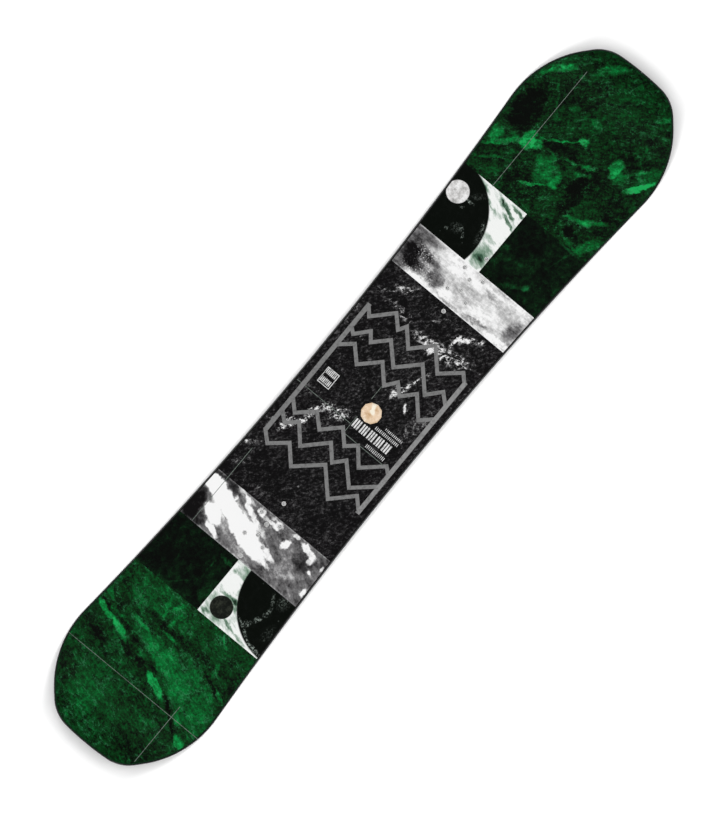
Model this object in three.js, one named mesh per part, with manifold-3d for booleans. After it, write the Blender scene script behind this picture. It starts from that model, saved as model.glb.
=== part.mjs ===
// A twin-tip snowboard in full sandwich construction, with a small stud stomp pad bonded to
// its topsheet between the bindings. Millimetres. X runs along the board, Y across it and +Z
// points out of the topsheet. The origin is under the middle of the board, on the snow.
//
// From the snow upwards: base and steel edges, rubber foil over the edge flanges, bottom
// fibreglass, wood core inside plastic sidewalls and end spacers, top fibreglass, topsheet.
// Every layer follows one folded surface, so the gaps between layers are the same everywhere.

import * as THREE from 'three';
import { mergeVertices } from 'three/addons/utils/BufferGeometryUtils.js';
import Module from 'manifold-3d';

const wasm = await Module();
wasm.setup();

// Plan shape: a chain of tangent arcs, the same at both ends and on both sides.
const HALF_WAIST = 134.4;
const SIDECUT_RADIUS = 7914;
const SIDECUT_END = 619; // distance from the middle at which the sidecut meets the shoulder
const SHOULDER = { radius: 197.9, turn: 0.7963, steps: 9 };
const FLANK = { radius: 730, turn: 0.0282, steps: 1 };
const CORNER = { radius: 74.8, steps: 5 };
const NOSE_HALF_TURN = 0.086; // the nose arc closes the outline on the centre line
const NOSE_STEPS = 2;
const NOSE_FACET_HALF_WIDTH = 12; // flat facet at the very end

// Side profile: camber between the contact lines, then an upturned kick at each end.
const CAMBER_HEIGHT = 5;
const CONTACT_START = 600;
const CONTACT_END = 640;
const KICK_RADIUS = 316.7;
const CAMBER_FOLDS = [60, 145, 225, 365, 450, 525, 600, 640];
const KICK_LENGTH = 166; // from the contact line to the tip, in plan
const KICK_FOLDS = 8;

// Layer thicknesses and levels, measured square to the layers from the running surface.
const BASE_THICKNESS = 1.2;
const SHEET_GAP = 0.1; // bond line between two layers
const EDGE_HEIGHT = 1.9;
const GLASS_THICKNESS = 0.6;
const RUBBER_THICKNESS = 0.2;
const TOPSHEET_THICKNESS = 0.5;
const CORE_MIDDLE_THICKNESS = 6.3;
const CORE_TIP_THICKNESS = 2.2;
const CORE_FULL_UNTIL = 365;
const CORE_THIN_FROM = 640;

const FLANGE_LEVEL = BASE_THICKNESS + SHEET_GAP;
const RUBBER_LEVEL = EDGE_HEIGHT + SHEET_GAP;
const GLASS_RIM_LEVEL = RUBBER_LEVEL + RUBBER_THICKNESS + SHEET_GAP;
const GLASS_RIM_TOP = GLASS_RIM_LEVEL + GLASS_THICKNESS;
const CORE_LEVEL = FLANGE_LEVEL + GLASS_THICKNESS + SHEET_GAP;
const SIDEWALL_LEVEL = GLASS_RIM_TOP + SHEET_GAP;
const TOP_GLASS_LEVEL = CORE_LEVEL + SHEET_GAP; // plus the core's thickness
const TOPSHEET_LEVEL = TOP_GLASS_LEVEL + GLASS_THICKNESS + SHEET_GAP; // plus the core's thickness
const TOPSHEET_TOP = TOPSHEET_LEVEL + TOPSHEET_THICKNESS; // plus the core's thickness

// Insets of the layers' rims from the outer outline.
const EDGE_WIDTH = 2.2;
const FLANGE_INSET = 8.8;
const RUBBER_RIM = { outer: 0.5, inner: 9 };
const GLASS_INSET = 0.4;
const GLASS_STEP = { outer: 9.3, inner: 9.9 };
const SIDEWALL = { bottom: 0.4, top: 2.4, inner: 9.9 };
const SPACER_INSET = 1.4;
const CORE_INSET = 10.2;
const TOPSHEET_INSET = 2.6;
const FIT_GAP = 0.3; // between parts that meet side by side

// Core: vertically laminated strips, cut square at both ends.
const CORE_END = 690;
const STRIP_PITCH = 21.65;
const STRIP_GAP = 0.25;
const FULL_STRIPS_EACH_SIDE = 5;

// Threaded inserts: a triangular pattern at each foot, its rows one strip apart.
const FOOT_MIDDLE = 294.1;
const CENTRE_ROW = [-62.5, -12.5, 12.5, 62.5];
const OUTER_ROW = [-25, 25];
const INSERT = {
  flangeRadius: 8.5, flangeHeight: 1.2, barrelRadius: 4, boreRadius: 2.5, boreFloor: 1.8, sides: 12,
};
const INSERT_CLEARANCE = 0.3;
const INSERT_SEAT_GAP = 0.25; // under the flange, which is level while the board slopes
const INSERT_TOP_RECESS = 0.1; // the barrel ends just below the topsheet's face

// Stomp pad: a ten-sided cut stud on a disc of adhesive tape.
const PAD_CENTRE = { x: 0.4, y: -17.8 };
const PAD_SIDES = 10;
const PAD_PROFILE = [[0, 0], [19.6, 0], [20.2, 0.8], [17.2, 2], [6, 4.4], [0, 4.4]];
const TAPE_RADIUS = 18.6;
const TAPE_THICKNESS = 0.7;

// ---- Side profile -------------------------------------------------------------------------

/** Height of the running surface at a distance x >= 0 from the middle. */
function rise(x) {
  if (x <= CONTACT_START) {
    return (CAMBER_HEIGHT / 2) * (1 + Math.cos((Math.PI * x) / CONTACT_START));
  }
  if (x <= CONTACT_END) {
    return 0;
  }
  return KICK_RADIUS - Math.sqrt(KICK_RADIUS ** 2 - (x - CONTACT_END) ** 2);
}

/** How much taller than its thickness a sloping layer is, measured straight up. */
function stretch(x) {
  const sine = Math.max(0, x - CONTACT_END) / KICK_RADIUS;
  return 1 / Math.sqrt(1 - sine ** 2);
}

function coreThickness(x) {
  const share = THREE.MathUtils.clamp((x - CORE_FULL_UNTIL) / (CORE_THIN_FROM - CORE_FULL_UNTIL), 0, 1);
  return THREE.MathUtils.lerp(CORE_MIDDLE_THICKNESS, CORE_TIP_THICKNESS, share);
}

// Lines across the board along which all layers fold. Between two of them every layer is flat.
const kickFolds = Array.from(
  { length: KICK_FOLDS },
  (_, i) => CONTACT_END + (KICK_LENGTH * (i + 1)) / KICK_FOLDS,
);
const folds = [...CAMBER_FOLDS, ...kickFolds].map((x) => ({
  x, rise: rise(x), stretch: stretch(x), core: coreThickness(x),
}));

/** Straight-line interpolation of a rising list of [x, value] pairs, level beyond its ends. */
function interpolate(pairs, x) {
  const next = pairs.findIndex(([pairX]) => pairX >= x);
  if (next === 0) {
    return pairs[0][1];
  }
  if (next < 0) {
    return pairs.at(-1)[1];
  }
  const [x0, value0] = pairs[next - 1];
  const [x1, value1] = pairs[next];
  return THREE.MathUtils.mapLinear(x, x0, x1, value0, value1);
}

/** A layer face: the height, as a function of x, of `sheets` mm of layers plus a share of the core. */
function face(sheets, coreShare = 0) {
  const heights = folds.map((fold) => [
    fold.x, fold.rise + (sheets + coreShare * fold.core) * fold.stretch,
  ]);
  return (x) => interpolate(heights, Math.abs(x));
}

// ---- Plan shape ---------------------------------------------------------------------------

/** Unit normal pointing into the board, for a heading along the outline measured from +X. */
const inward = (heading) => new THREE.Vector2(Math.sin(heading), -Math.cos(heading));

/** The outline's points from the sidecut's end to the nose, each with its heading. */
function endPoints() {
  let heading = Math.asin(SIDECUT_END / SIDECUT_RADIUS);
  let point = new THREE.Vector2(
    SIDECUT_END, HALF_WAIST + SIDECUT_RADIUS * (1 - Math.cos(heading)),
  );
  const points = [{ point, heading }];
  const noseHeading = NOSE_HALF_TURN - Math.PI / 2;

  const follow = (radius, endHeading, steps) => {
    const centre = point.clone().addScaledVector(inward(heading), radius);
    for (let i = 1; i <= steps; i += 1) {
      const stepHeading = THREE.MathUtils.lerp(heading, endHeading, i / steps);
      const stepPoint = centre.clone().addScaledVector(inward(stepHeading), -radius);
      points.push({ point: stepPoint, heading: stepHeading });
    }
    heading = endHeading;
    point = points.at(-1).point;
  };

  follow(SHOULDER.radius, heading - SHOULDER.turn, SHOULDER.steps);
  follow(FLANK.radius, heading - FLANK.turn, FLANK.steps);
  follow(CORNER.radius, noseHeading, CORNER.steps);
  const noseRadius = point.y / Math.cos(heading);
  const facetHeading = Math.asin(NOSE_FACET_HALF_WIDTH / noseRadius) - Math.PI / 2;
  follow(noseRadius, facetHeading, NOSE_STEPS);
  return points;
}

const outlineEnd = endPoints();

/** Half of the outline, moved inwards by an inset, as rising [x, half width] pairs. */
function outline(inset) {
  const end = outlineEnd.map(({ point, heading }) => {
    const moved = point.clone().addScaledVector(inward(heading), inset);
    return [moved.x, moved.y];
  });
  const radius = SIDECUT_RADIUS + inset;
  const sidecutWidth = (x) => HALF_WAIST + SIDECUT_RADIUS - Math.sqrt(radius ** 2 - x ** 2);
  const sidecut = folds.filter((fold) => fold.x < end[0][0] - 1).map((fold) => [fold.x, sidecutWidth(fold.x)]);
  return [[0, sidecutWidth(0)], ...sidecut, ...end];
}

/** Half width of the board at x, for an inset rim. */
function halfWidth(inset) {
  const pairs = outline(inset);
  return (x) => interpolate(pairs, Math.abs(x));
}

/** The x places of a slab's cross-sections: every fold and outline corner out to its end. */
function stations(inset, limit = Infinity) {
  const nearest = 0.3; // an outline corner this close to a fold gives way to the fold
  const corners = outline(inset).slice(1).map(([x]) => x);
  const end = Math.min(limit, corners.at(-1));
  const foldPlaces = folds.map((fold) => fold.x).filter((x) => x < end - nearest);
  const cornerPlaces = corners.filter(
    (x) => x < end - nearest && foldPlaces.every((fold) => Math.abs(fold - x) > nearest),
  );
  const half = [...foldPlaces, ...cornerPlaces, end].sort((a, b) => a - b);
  return [...half.map((x) => -x).reverse(), ...half];
}

// ---- Solids -------------------------------------------------------------------------------

/** A closed geometry as a solid for joining and cutting. */
function toSolid(geometry) {
  const bare = geometry.clone();
  bare.deleteAttribute('normal');
  bare.deleteAttribute('uv');
  const merged = mergeVertices(bare, 1e-4);
  return new wasm.Manifold(new wasm.Mesh({
    numProp: 3,
    vertProperties: new Float32Array(merged.attributes.position.array),
    triVerts: new Uint32Array(merged.index.array),
  }));
}

function toGeometry(solid) {
  const mesh = solid.getMesh();
  const geometry = new THREE.BufferGeometry();
  geometry.setAttribute('position', new THREE.BufferAttribute(new Float32Array(mesh.vertProperties), 3));
  geometry.setIndex(new THREE.BufferAttribute(new Uint32Array(mesh.triVerts), 1));
  return geometry;
}

/**
 * A slab across the board: `places` are its cross-sections, `low` and `high` give its two
 * sides in y, as functions of x and of whether the corner is a top one, and `floor` and
 * `roof` give its heights.
 */
function slab(places, low, high, floor, roof) {
  const geometry = new THREE.BoxGeometry(1, 1, 1, places.length - 1, 1, 1);
  const position = geometry.attributes.position;
  for (let i = 0; i < position.count; i += 1) {
    const x = places[Math.round((position.getX(i) + 0.5) * (places.length - 1))];
    const isTop = position.getZ(i) > 0;
    const side = position.getY(i) > 0 ? high : low;
    position.setXYZ(i, x, side(x, isTop), isTop ? roof(x) : floor(x));
  }
  return toSolid(geometry);
}

/** A sheet that fills the outline, moved inwards by an inset. */
function sheet(inset, floor, roof) {
  const width = halfWidth(inset);
  return slab(stations(inset), (x) => -width(x), width, floor, roof);
}

/** A band that runs round the board between two insets. */
function band(outer, inner, floor, roof) {
  const below = (x) => floor(x) - 1;
  const above = (x) => roof(x) + 1;
  return sheet(outer, floor, roof).subtract(sheet(inner, below, above));
}

/** A block that reaches past the board in y and z, from one x to another. */
function block(fromX, toX, fromY, toY) {
  const height = 200;
  const geometry = new THREE.BoxGeometry(toX - fromX, toY - fromY, height);
  geometry.translate((fromX + toX) / 2, (fromY + toY) / 2, 0);
  return toSolid(geometry);
}

function post(radius, bottom, top, x, y) {
  const geometry = new THREE.CylinderGeometry(radius, radius, top - bottom, INSERT.sides);
  geometry.rotateX(Math.PI / 2);
  geometry.translate(x, y, (bottom + top) / 2);
  return toSolid(geometry);
}

// ---- Parts --------------------------------------------------------------------------------

const finish = (color, roughness, metalness = 0) => ({ color, roughness, metalness });
const FINISHES = {
  topsheet: finish(0x1c3a2a, 0.35),
  glass: finish(0xc9c7a4, 0.5),
  base: finish(0x17181a, 0.45),
  steel: finish(0xb4b7ba, 0.3, 1),
  rubber: finish(0x202020, 0.9),
  sidewall: finish(0x121313, 0.5),
  poplar: finish(0xd9c08f, 0.7),
  beech: finish(0xb98a5a, 0.7),
  insert: finish(0x9c9fa3, 0.35, 1),
  pad: finish(0xe6c9a2, 0.3),
  tape: finish(0x8f8a80, 0.8),
};

const board = new THREE.Group();
const HALF_LENGTH = 1000; // longer than any half board, for cutting blocks
const HALF_SPAN = 400; // wider than any half board

function addPart(name, geometry, material) {
  const mesh = new THREE.Mesh(geometry, new THREE.MeshStandardMaterial(material));
  mesh.name = name;
  board.add(mesh);
}

/** Places of all inserts, front foot first. */
function insertPlaces() {
  const rows = [
    { y: STRIP_PITCH, along: OUTER_ROW },
    { y: 0, along: CENTRE_ROW },
    { y: -STRIP_PITCH, along: OUTER_ROW },
  ];
  return [1, -1].flatMap((end) => rows.flatMap(
    ({ y, along }) => along.map((offset) => ({ end, x: end * FOOT_MIDDLE + offset, y })),
  ));
}

const places = insertPlaces();

/** A sheet above the core, pierced over every insert. */
function piercedSheet(level, thickness) {
  const overreach = 2;
  const holes = places.map(({ x, y }) => {
    const bottom = face(level, 1)(x) - overreach;
    return post(INSERT.barrelRadius + INSERT_CLEARANCE, bottom, bottom + thickness + 2 * overreach, x, y);
  });
  return holes.reduce(
    (solid, hole) => solid.subtract(hole),
    sheet(TOPSHEET_INSET, face(level, 1), face(level + thickness, 1)),
  );
}

function addTopLayers() {
  addPart('topsheet', toGeometry(piercedSheet(TOPSHEET_LEVEL, TOPSHEET_THICKNESS)), FINISHES.topsheet);
  addPart('top_fibreglass', toGeometry(piercedSheet(TOP_GLASS_LEVEL, GLASS_THICKNESS)), FINISHES.glass);
}

function addBase() {
  const sole = sheet(EDGE_WIDTH + FIT_GAP, face(0), face(BASE_THICKNESS));
  addPart('base', toGeometry(sole), FINISHES.base);
}

/** The bottom fibreglass lies on the base and steps up over the rubber and the edge flanges. */
function addBottomFibreglass() {
  const outside = -1;
  const underRim = band(outside, GLASS_STEP.outer, face(0), face(GLASS_RIM_LEVEL));
  const middle = sheet(GLASS_STEP.inner, face(FLANGE_LEVEL + GLASS_THICKNESS), face(GLASS_RIM_TOP + 1));
  const glass = sheet(GLASS_INSET, face(FLANGE_LEVEL), face(GLASS_RIM_TOP))
    .subtract(underRim)
    .subtract(middle);
  addPart('bottom_fibreglass', toGeometry(glass), FINISHES.glass);
}

/** Splits a band into its left and right halves, which meet at the tip and the tail. */
function addHalves(name, solid, material) {
  const left = block(-HALF_LENGTH, HALF_LENGTH, FIT_GAP / 2, HALF_SPAN);
  const right = block(-HALF_LENGTH, HALF_LENGTH, -HALF_SPAN, -FIT_GAP / 2);
  addPart(`${name}_left`, toGeometry(solid.intersect(left)), material);
  addPart(`${name}_right`, toGeometry(solid.intersect(right)), material);
}

function addEdges() {
  const baseRecess = sheet(EDGE_WIDTH, face(-1), face(FLANGE_LEVEL));
  const edge = band(0, FLANGE_INSET, face(0), face(EDGE_HEIGHT)).subtract(baseRecess);
  addHalves('steel_edge', edge, FINISHES.steel);
}

function addRubberFoil() {
  const foil = band(
    RUBBER_RIM.outer, RUBBER_RIM.inner, face(RUBBER_LEVEL), face(RUBBER_LEVEL + RUBBER_THICKNESS),
  );
  addHalves('rubber_foil', foil, FINISHES.rubber);
}

/** A sidewall leans inwards from the edge to the topsheet. */
function addSidewall(name, side) {
  const bottom = halfWidth(SIDEWALL.bottom);
  const top = halfWidth(SIDEWALL.top);
  const inner = halfWidth(SIDEWALL.inner);
  const outerSide = (x, isTop) => side * (isTop ? top(x) : bottom(x));
  const innerSide = (x) => side * inner(x);
  const [low, high] = side > 0 ? [innerSide, outerSide] : [outerSide, innerSide];
  const wall = slab(stations(SIDEWALL.inner, CORE_END), low, high, face(SIDEWALL_LEVEL), face(CORE_LEVEL, 1));
  addPart(name, toGeometry(wall), FINISHES.sidewall);
}

/** The spacers fill the tip and the tail beyond the core, and step up over the edge flanges. */
function addSpacers() {
  const underRim = band(-1, CORE_INSET, face(0), face(SIDEWALL_LEVEL));
  const filler = sheet(SPACER_INSET, face(CORE_LEVEL), face(CORE_LEVEL, 1)).subtract(underRim);
  const start = CORE_END + FIT_GAP;
  const tip = filler.intersect(block(start, HALF_LENGTH, -HALF_SPAN, HALF_SPAN));
  const tail = filler.intersect(block(-HALF_LENGTH, -start, -HALF_SPAN, HALF_SPAN));
  addPart('tip_spacer', toGeometry(tip), FINISHES.sidewall);
  addPart('tail_spacer', toGeometry(tail), FINISHES.sidewall);
}

/** Cuts the stepped holes for the inserts that sit in the strip centred on y. */
function boreForInserts(strip, stripY) {
  const overreach = 3;
  const inStrip = places.filter(({ y }) => Math.abs(y - stripY) < STRIP_PITCH / 2);
  return inStrip.reduce((solid, { x, y }) => {
    const bottom = face(CORE_LEVEL)(x);
    const seatTop = bottom + INSERT_SEAT_GAP + INSERT.flangeHeight + INSERT_CLEARANCE;
    const top = face(CORE_LEVEL, 1)(x) + overreach;
    const barrel = post(INSERT.barrelRadius + INSERT_CLEARANCE, bottom - overreach, top, x, y);
    const seat = post(INSERT.flangeRadius + INSERT_CLEARANCE, bottom - overreach, seatTop, x, y);
    return solid.subtract(barrel).subtract(seat);
  }, strip);
}

function coreStrip(index) {
  const centre = index * STRIP_PITCH;
  const side = Math.sign(index);
  const nearY = side * ((Math.abs(index) - 0.5) * STRIP_PITCH + STRIP_GAP / 2);
  const rim = halfWidth(CORE_INSET);
  const isOutermost = Math.abs(index) > FULL_STRIPS_EACH_SIDE;
  const half = (STRIP_PITCH - STRIP_GAP) / 2;
  let low = () => centre - half;
  let high = () => centre + half;
  if (isOutermost) {
    low = side > 0 ? () => nearY : (x) => -rim(x);
    high = side > 0 ? rim : () => nearY;
  }
  const sections = isOutermost ? stations(CORE_INSET, CORE_END) : foldStations(CORE_END);
  const strip = slab(sections, low, high, face(CORE_LEVEL), face(CORE_LEVEL, 1));
  return boreForInserts(strip, centre);
}

/** Cross-sections at the folds only, for parts with straight sides. */
function foldStations(end) {
  const half = [...folds.map((fold) => fold.x).filter((x) => x < end - 1), end];
  return [...half.map((x) => -x).reverse(), ...half];
}

function addCore() {
  const outermost = FULL_STRIPS_EACH_SIDE + 1;
  for (let index = -outermost; index <= outermost; index += 1) {
    const number = String(index + outermost + 1).padStart(2, '0');
    const wood = index % 2 === 0 ? FINISHES.poplar : FINISHES.beech;
    addPart(`core_strip_${number}`, toGeometry(coreStrip(index)), wood);
  }
}

function insertGeometry(length) {
  const { flangeRadius, flangeHeight, barrelRadius, boreRadius, boreFloor, sides } = INSERT;
  const profile = [
    [0, 0], [flangeRadius, 0], [flangeRadius, flangeHeight], [barrelRadius, flangeHeight],
    [barrelRadius, length], [boreRadius, length], [boreRadius, boreFloor], [0, boreFloor],
  ];
  return new THREE.LatheGeometry(profile.map(([r, z]) => new THREE.Vector2(r, z)), sides).rotateX(Math.PI / 2);
}

function addInserts() {
  const counts = { 1: 0, '-1': 0 };
  places.forEach(({ end, x, y }) => {
    counts[end] += 1;
    const bottom = face(CORE_LEVEL)(x) + INSERT_SEAT_GAP;
    const top = face(TOPSHEET_TOP, 1)(x) - INSERT_TOP_RECESS;
    const geometry = insertGeometry(top - bottom).translate(x, y, bottom);
    addPart(`insert_${end > 0 ? 'front' : 'rear'}_${counts[end]}`, geometry, FINISHES.insert);
  });
}

function addStompPad() {
  const tapeBottom = face(TOPSHEET_TOP, 1)(PAD_CENTRE.x) + SHEET_GAP;
  const tape = new THREE.CylinderGeometry(TAPE_RADIUS, TAPE_RADIUS, TAPE_THICKNESS, 2 * PAD_SIDES);
  tape.rotateX(Math.PI / 2);
  tape.translate(PAD_CENTRE.x, PAD_CENTRE.y, tapeBottom + TAPE_THICKNESS / 2);
  addPart('stomp_pad_tape', tape, FINISHES.tape);

  const padBottom = tapeBottom + TAPE_THICKNESS + SHEET_GAP;
  const profile = PAD_PROFILE.map(([r, z]) => new THREE.Vector2(r, z));
  const pad = new THREE.LatheGeometry(profile, PAD_SIDES).rotateX(Math.PI / 2);
  pad.translate(PAD_CENTRE.x, PAD_CENTRE.y, padBottom);
  addPart('stomp_pad', pad, FINISHES.pad);
}

addTopLayers();
addBottomFibreglass();
addBase();
addEdges();
addRubberFoil();
addSidewall('sidewall_left', 1);
addSidewall('sidewall_right', -1);
addSpacers();
addCore();
addInserts();
addStompPad();

export default board;
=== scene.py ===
"""Looks of a snowboard with a stud stomp pad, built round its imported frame.

The board is a glued sandwich, so every layer that shows is lofted again here, finely, along the
same outline and side profile as the frame's solids. The printed topsheet carries seven printed
areas. Sizes are in millimetres until a mesh is made, and metres in Blender.
"""

import logging
import math
from collections.abc import Mapping, Sequence
from dataclasses import dataclass
from enum import Enum

import bmesh
import bpy
import numpy as np
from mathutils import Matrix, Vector


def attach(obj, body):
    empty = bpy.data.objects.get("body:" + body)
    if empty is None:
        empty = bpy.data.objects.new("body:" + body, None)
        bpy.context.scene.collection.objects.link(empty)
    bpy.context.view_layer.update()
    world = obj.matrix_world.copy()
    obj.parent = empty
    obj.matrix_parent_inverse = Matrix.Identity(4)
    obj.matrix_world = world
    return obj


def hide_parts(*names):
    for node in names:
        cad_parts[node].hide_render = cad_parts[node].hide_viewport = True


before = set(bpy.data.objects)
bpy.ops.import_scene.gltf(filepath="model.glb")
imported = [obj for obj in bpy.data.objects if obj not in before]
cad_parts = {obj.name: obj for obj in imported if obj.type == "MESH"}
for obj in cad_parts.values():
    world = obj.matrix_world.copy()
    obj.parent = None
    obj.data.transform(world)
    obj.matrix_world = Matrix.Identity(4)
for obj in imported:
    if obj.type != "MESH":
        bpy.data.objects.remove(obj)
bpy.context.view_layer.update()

log = logging.getLogger("snowboard")
MM = 0.001
BODY = "root"
ANY_HEIGHT = 1e5  # mm, the reach in z of a pattern that ignores z
LIGHT_GAIN = 1.4  # how much lighter than its own colour a level surface shows in the studio

Link = object  # a node, a (node, output name) pair, a socket, or a plain value
Tree = bpy.types.NodeTree
Node = bpy.types.Node
Socket = bpy.types.NodeSocket
Object = bpy.types.Object
Material = bpy.types.Material
Stops = Sequence[tuple[float, str]]  # places from 0 to 1, with sRGB hex colours
Colour = tuple[float, float, float, float]
Points = Sequence[tuple[float, float]]
Span = tuple[float, float] | None  # where along x a piece starts and ends, if it isn't full length
Skin = tuple[np.ndarray, list[list[int]]]  # corners, and faces as corner numbers


# ---- Colours and nodes ----------------------------------------------------------------------


def linear(code: str, gain: float = 1.0) -> Colour:
    """Turns an sRGB hex colour into a linear one.

    Args:
        code: Six hex digits, such as "1a2b3c".
        gain: How much lighter the light shows it, which is taken out.

    Returns:
        Linear red, green and blue, and an alpha of 1.
    """
    parts = [int(code[i : i + 2], 16) / 255 for i in (0, 2, 4)]
    red, green, blue = (c / 12.92 if c <= 0.04045 else ((c + 0.055) / 1.055) ** 2.4 for c in parts)
    return red / gain, green / gain, blue / gain, 1.0


def add(tree: Tree, kind: str, links: Mapping[int | str, Link] | None = None, **settings: object) -> Node:
    """Adds a node with its settings and inputs.

    Args:
        tree: The node tree that gets the node.
        kind: Blender's name of the node type.
        links: For each input, by name or number, what feeds it: a node (its first output), a pair
            of a node and an output's name, a socket, or a plain value.
        **settings: Properties of the node itself.

    Returns:
        The new node.
    """
    node = tree.nodes.new(kind)
    for key, value in settings.items():
        setattr(node, key, value)
    for key, value in (links or {}).items():
        if isinstance(value, Node):
            value = value.outputs[0]
        elif isinstance(value, tuple) and isinstance(value[0], Node):
            value = value[0].outputs[value[1]]
        if isinstance(value, Socket):
            tree.links.new(value, node.inputs[key])
        else:
            node.inputs[key].default_value = value
    return node


def maths(tree: Tree, operation: str, *values: Link) -> Node:
    """Adds a node that works on up to three numbers."""
    return add(tree, "ShaderNodeMath", dict(enumerate(values)), operation=operation)


@dataclass(frozen=True)
class Patch:
    """An area of a print: an ellipse with a soft rim.

    The rim is broken up by the coordinates that it is drawn on.
    """

    x: float
    y: float
    along: float  # half length in the direction of turn
    across: float  # half width
    turn: float = 0.0  # degrees
    strength: float = 1.0  # one below 0 darkens
    fade: float = 0.5  # share of the size over which it fades, on each side of its rim


Patches = tuple[Patch, ...]


@dataclass(frozen=True)
class Canvas:
    """A material's node tree, and the coordinates in millimetres that patterns are drawn on."""

    tree: Tree
    place: Link

    def maths(self, operation: str, *values: Link) -> Node:
        """Adds a node that works on up to three numbers."""
        return maths(self.tree, operation, *values)

    def vectors(self, operation: str, *values: Link) -> Node:
        """Adds a node that works on up to three vectors."""
        return add(self.tree, "ShaderNodeVectorMath", dict(enumerate(values)), operation=operation)

    def axis(self, name: str) -> Link:
        """Gives one of the coordinates, "X", "Y" or "Z"."""
        return add(self.tree, "ShaderNodeSeparateXYZ", {0: self.place}), name

    def noise(self, size_mm: float, detail: float = 4.0, roughness: float = 0.55) -> Node:
        """Adds a cloud pattern.

        Args:
            size_mm: The size of the largest features.
            detail: How many finer octaves are added.
            roughness: How strong the finer octaves are.

        Returns:
            The noise node. Its first output is near 0.5 and rarely leaves 0.25 to 0.75.
        """
        links = {"Vector": self.place, "Scale": 1 / size_mm, "Detail": detail, "Roughness": roughness}
        return add(self.tree, "ShaderNodeTexNoise", links)

    def stretched(self, turn: float, along: float, across: float = 1.0) -> "Canvas":
        """Turns and stretches the coordinates, so that a pattern gets a direction.

        Args:
            turn: The direction, in degrees from the board's length.
            along: How many times longer the pattern becomes in that direction.
            across: How many times wider it becomes.

        Returns:
            The canvas with these coordinates.
        """
        size = {"Rotation": (0.0, 0.0, math.radians(turn)), "Scale": (along, across, 1.0)}
        links = {"Vector": self.place, **size}
        return Canvas(self.tree, add(self.tree, "ShaderNodeMapping", links, vector_type="TEXTURE"))

    def ragged(self, size_mm: float, reach_mm: float) -> "Canvas":
        """Shakes the coordinates, so that the rims of patches drawn on them are torn.

        Args:
            size_mm: The size of the tears.
            reach_mm: How far a rim is moved at most, about.

        Returns:
            The canvas with the shaken coordinates.
        """
        shake = self.noise(size_mm, detail=5.0, roughness=0.62)
        centred = self.vectors("SUBTRACT", (shake, "Color"), (0.5, 0.5, 0.5))
        reach = 4 * reach_mm  # the noise rarely leaves a quarter either side of its middle
        return Canvas(self.tree, self.vectors("MULTIPLY_ADD", centred, (reach, reach, reach), self.place))

    def step(self, value: Link, start: float, end: float, low: float = 0.0, high: float = 1.0) -> Node:
        """Adds a smooth step: low at start and before it, high at end and past it.

        Args:
            value: What is compared.
            start: Where the step begins. It may be above end, for a step that falls.
            end: Where the step ends.
            low: The result before the step.
            high: The result after the step.

        Returns:
            The node with the result.
        """
        links = {"Value": value, "From Min": start, "From Max": end, "To Min": low, "To Max": high}
        return add(self.tree, "ShaderNodeMapRange", links, interpolation_type="SMOOTHSTEP")

    def crumbs(self, size_mm: float, start: float, end: float, roughness: float = 0.75) -> Node:
        """Adds ragged crumbs: what lies above a threshold of a noise, which is soft from start to end."""
        return self.step(self.noise(size_mm, detail=3.0, roughness=roughness), start, end)

    def ramp(self, value: Link, stops: Stops) -> Node:
        """Turns a value into colours, as a level surface shows them in the studio."""
        node = add(self.tree, "ShaderNodeValToRGB", {"Fac": value})
        elements = node.color_ramp.elements
        while len(elements) < len(stops):
            elements.new(0.5)
        for element, (position, code) in zip(elements, stops):
            element.position = position
            element.color = linear(code, LIGHT_GAIN)
        return node

    def blend(self, share: Link, under: Link, over: Link) -> Socket:
        """Mixes two colours, of which share, from 0 to 1, is the second."""
        return add(self.tree, "ShaderNodeMix", {0: share, 6: under, 7: over}, data_type="RGBA").outputs[2]

    def total(self, terms: Sequence[tuple[Link, float]], start: Link = 0.0) -> Link:
        """Adds up values times weights, from a start value."""
        for value, weight in terms:
            start = self.maths("MULTIPLY_ADD", value, weight, start)
        return start

    def patch(self, patch: Patch) -> Node:
        """Draws a patch: its strength inside it and 0 outside it."""
        links = {
            "Vector": self.place,
            "Location": (patch.x, patch.y, 0.0),
            "Rotation": (0.0, 0.0, math.radians(patch.turn)),
            "Scale": (patch.along, patch.across, ANY_HEIGHT),
        }
        local = add(self.tree, "ShaderNodeMapping", links, vector_type="TEXTURE")
        distance = self.vectors("LENGTH", local)
        return self.step((distance, "Value"), 1 + patch.fade, 1 - patch.fade, 0.0, patch.strength)

    def patches(self, patches: Sequence[Patch], ground: Link = 0.0) -> Link:
        """Adds several patches to a ground value."""
        for patch in patches:
            ground = self.maths("ADD", ground, self.patch(patch))
        return ground

    def veins(self, size_mm: float, width: float) -> Node:
        """Adds thin branching lines, where a noise passes its middle value.

        Args:
            size_mm: The size of the meshes between the lines.
            width: The lines' width, as a share of the noise's range.

        Returns:
            A node that is 1 on a line and 0 beside it.
        """
        cloud = self.noise(size_mm, detail=6.0, roughness=0.6)
        off_middle = self.maths("SUBTRACT", cloud, 0.5)
        return self.step(self.maths("ABSOLUTE", off_middle), width, 0.0)

    def specks(self, pitch_mm: float, radius: float, share: float) -> Node:
        """Adds scattered round dots, such as stars.

        Args:
            pitch_mm: The mean distance between places where a dot may be.
            radius: The dots' radius as a share of the pitch.
            share: The share of the places that have one.

        Returns:
            A node that is up to 1 on a dot and 0 beside it.
        """
        cells = add(self.tree, "ShaderNodeTexVoronoi", {"Vector": self.place, "Scale": 1 / pitch_mm})
        dot = self.step((cells, "Distance"), radius, radius / 3)
        draw = add(self.tree, "ShaderNodeSeparateColor", {"Color": (cells, "Color")})
        return self.maths("MULTIPLY", dot, self.step(draw, 1 - share, 1.0))


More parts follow.
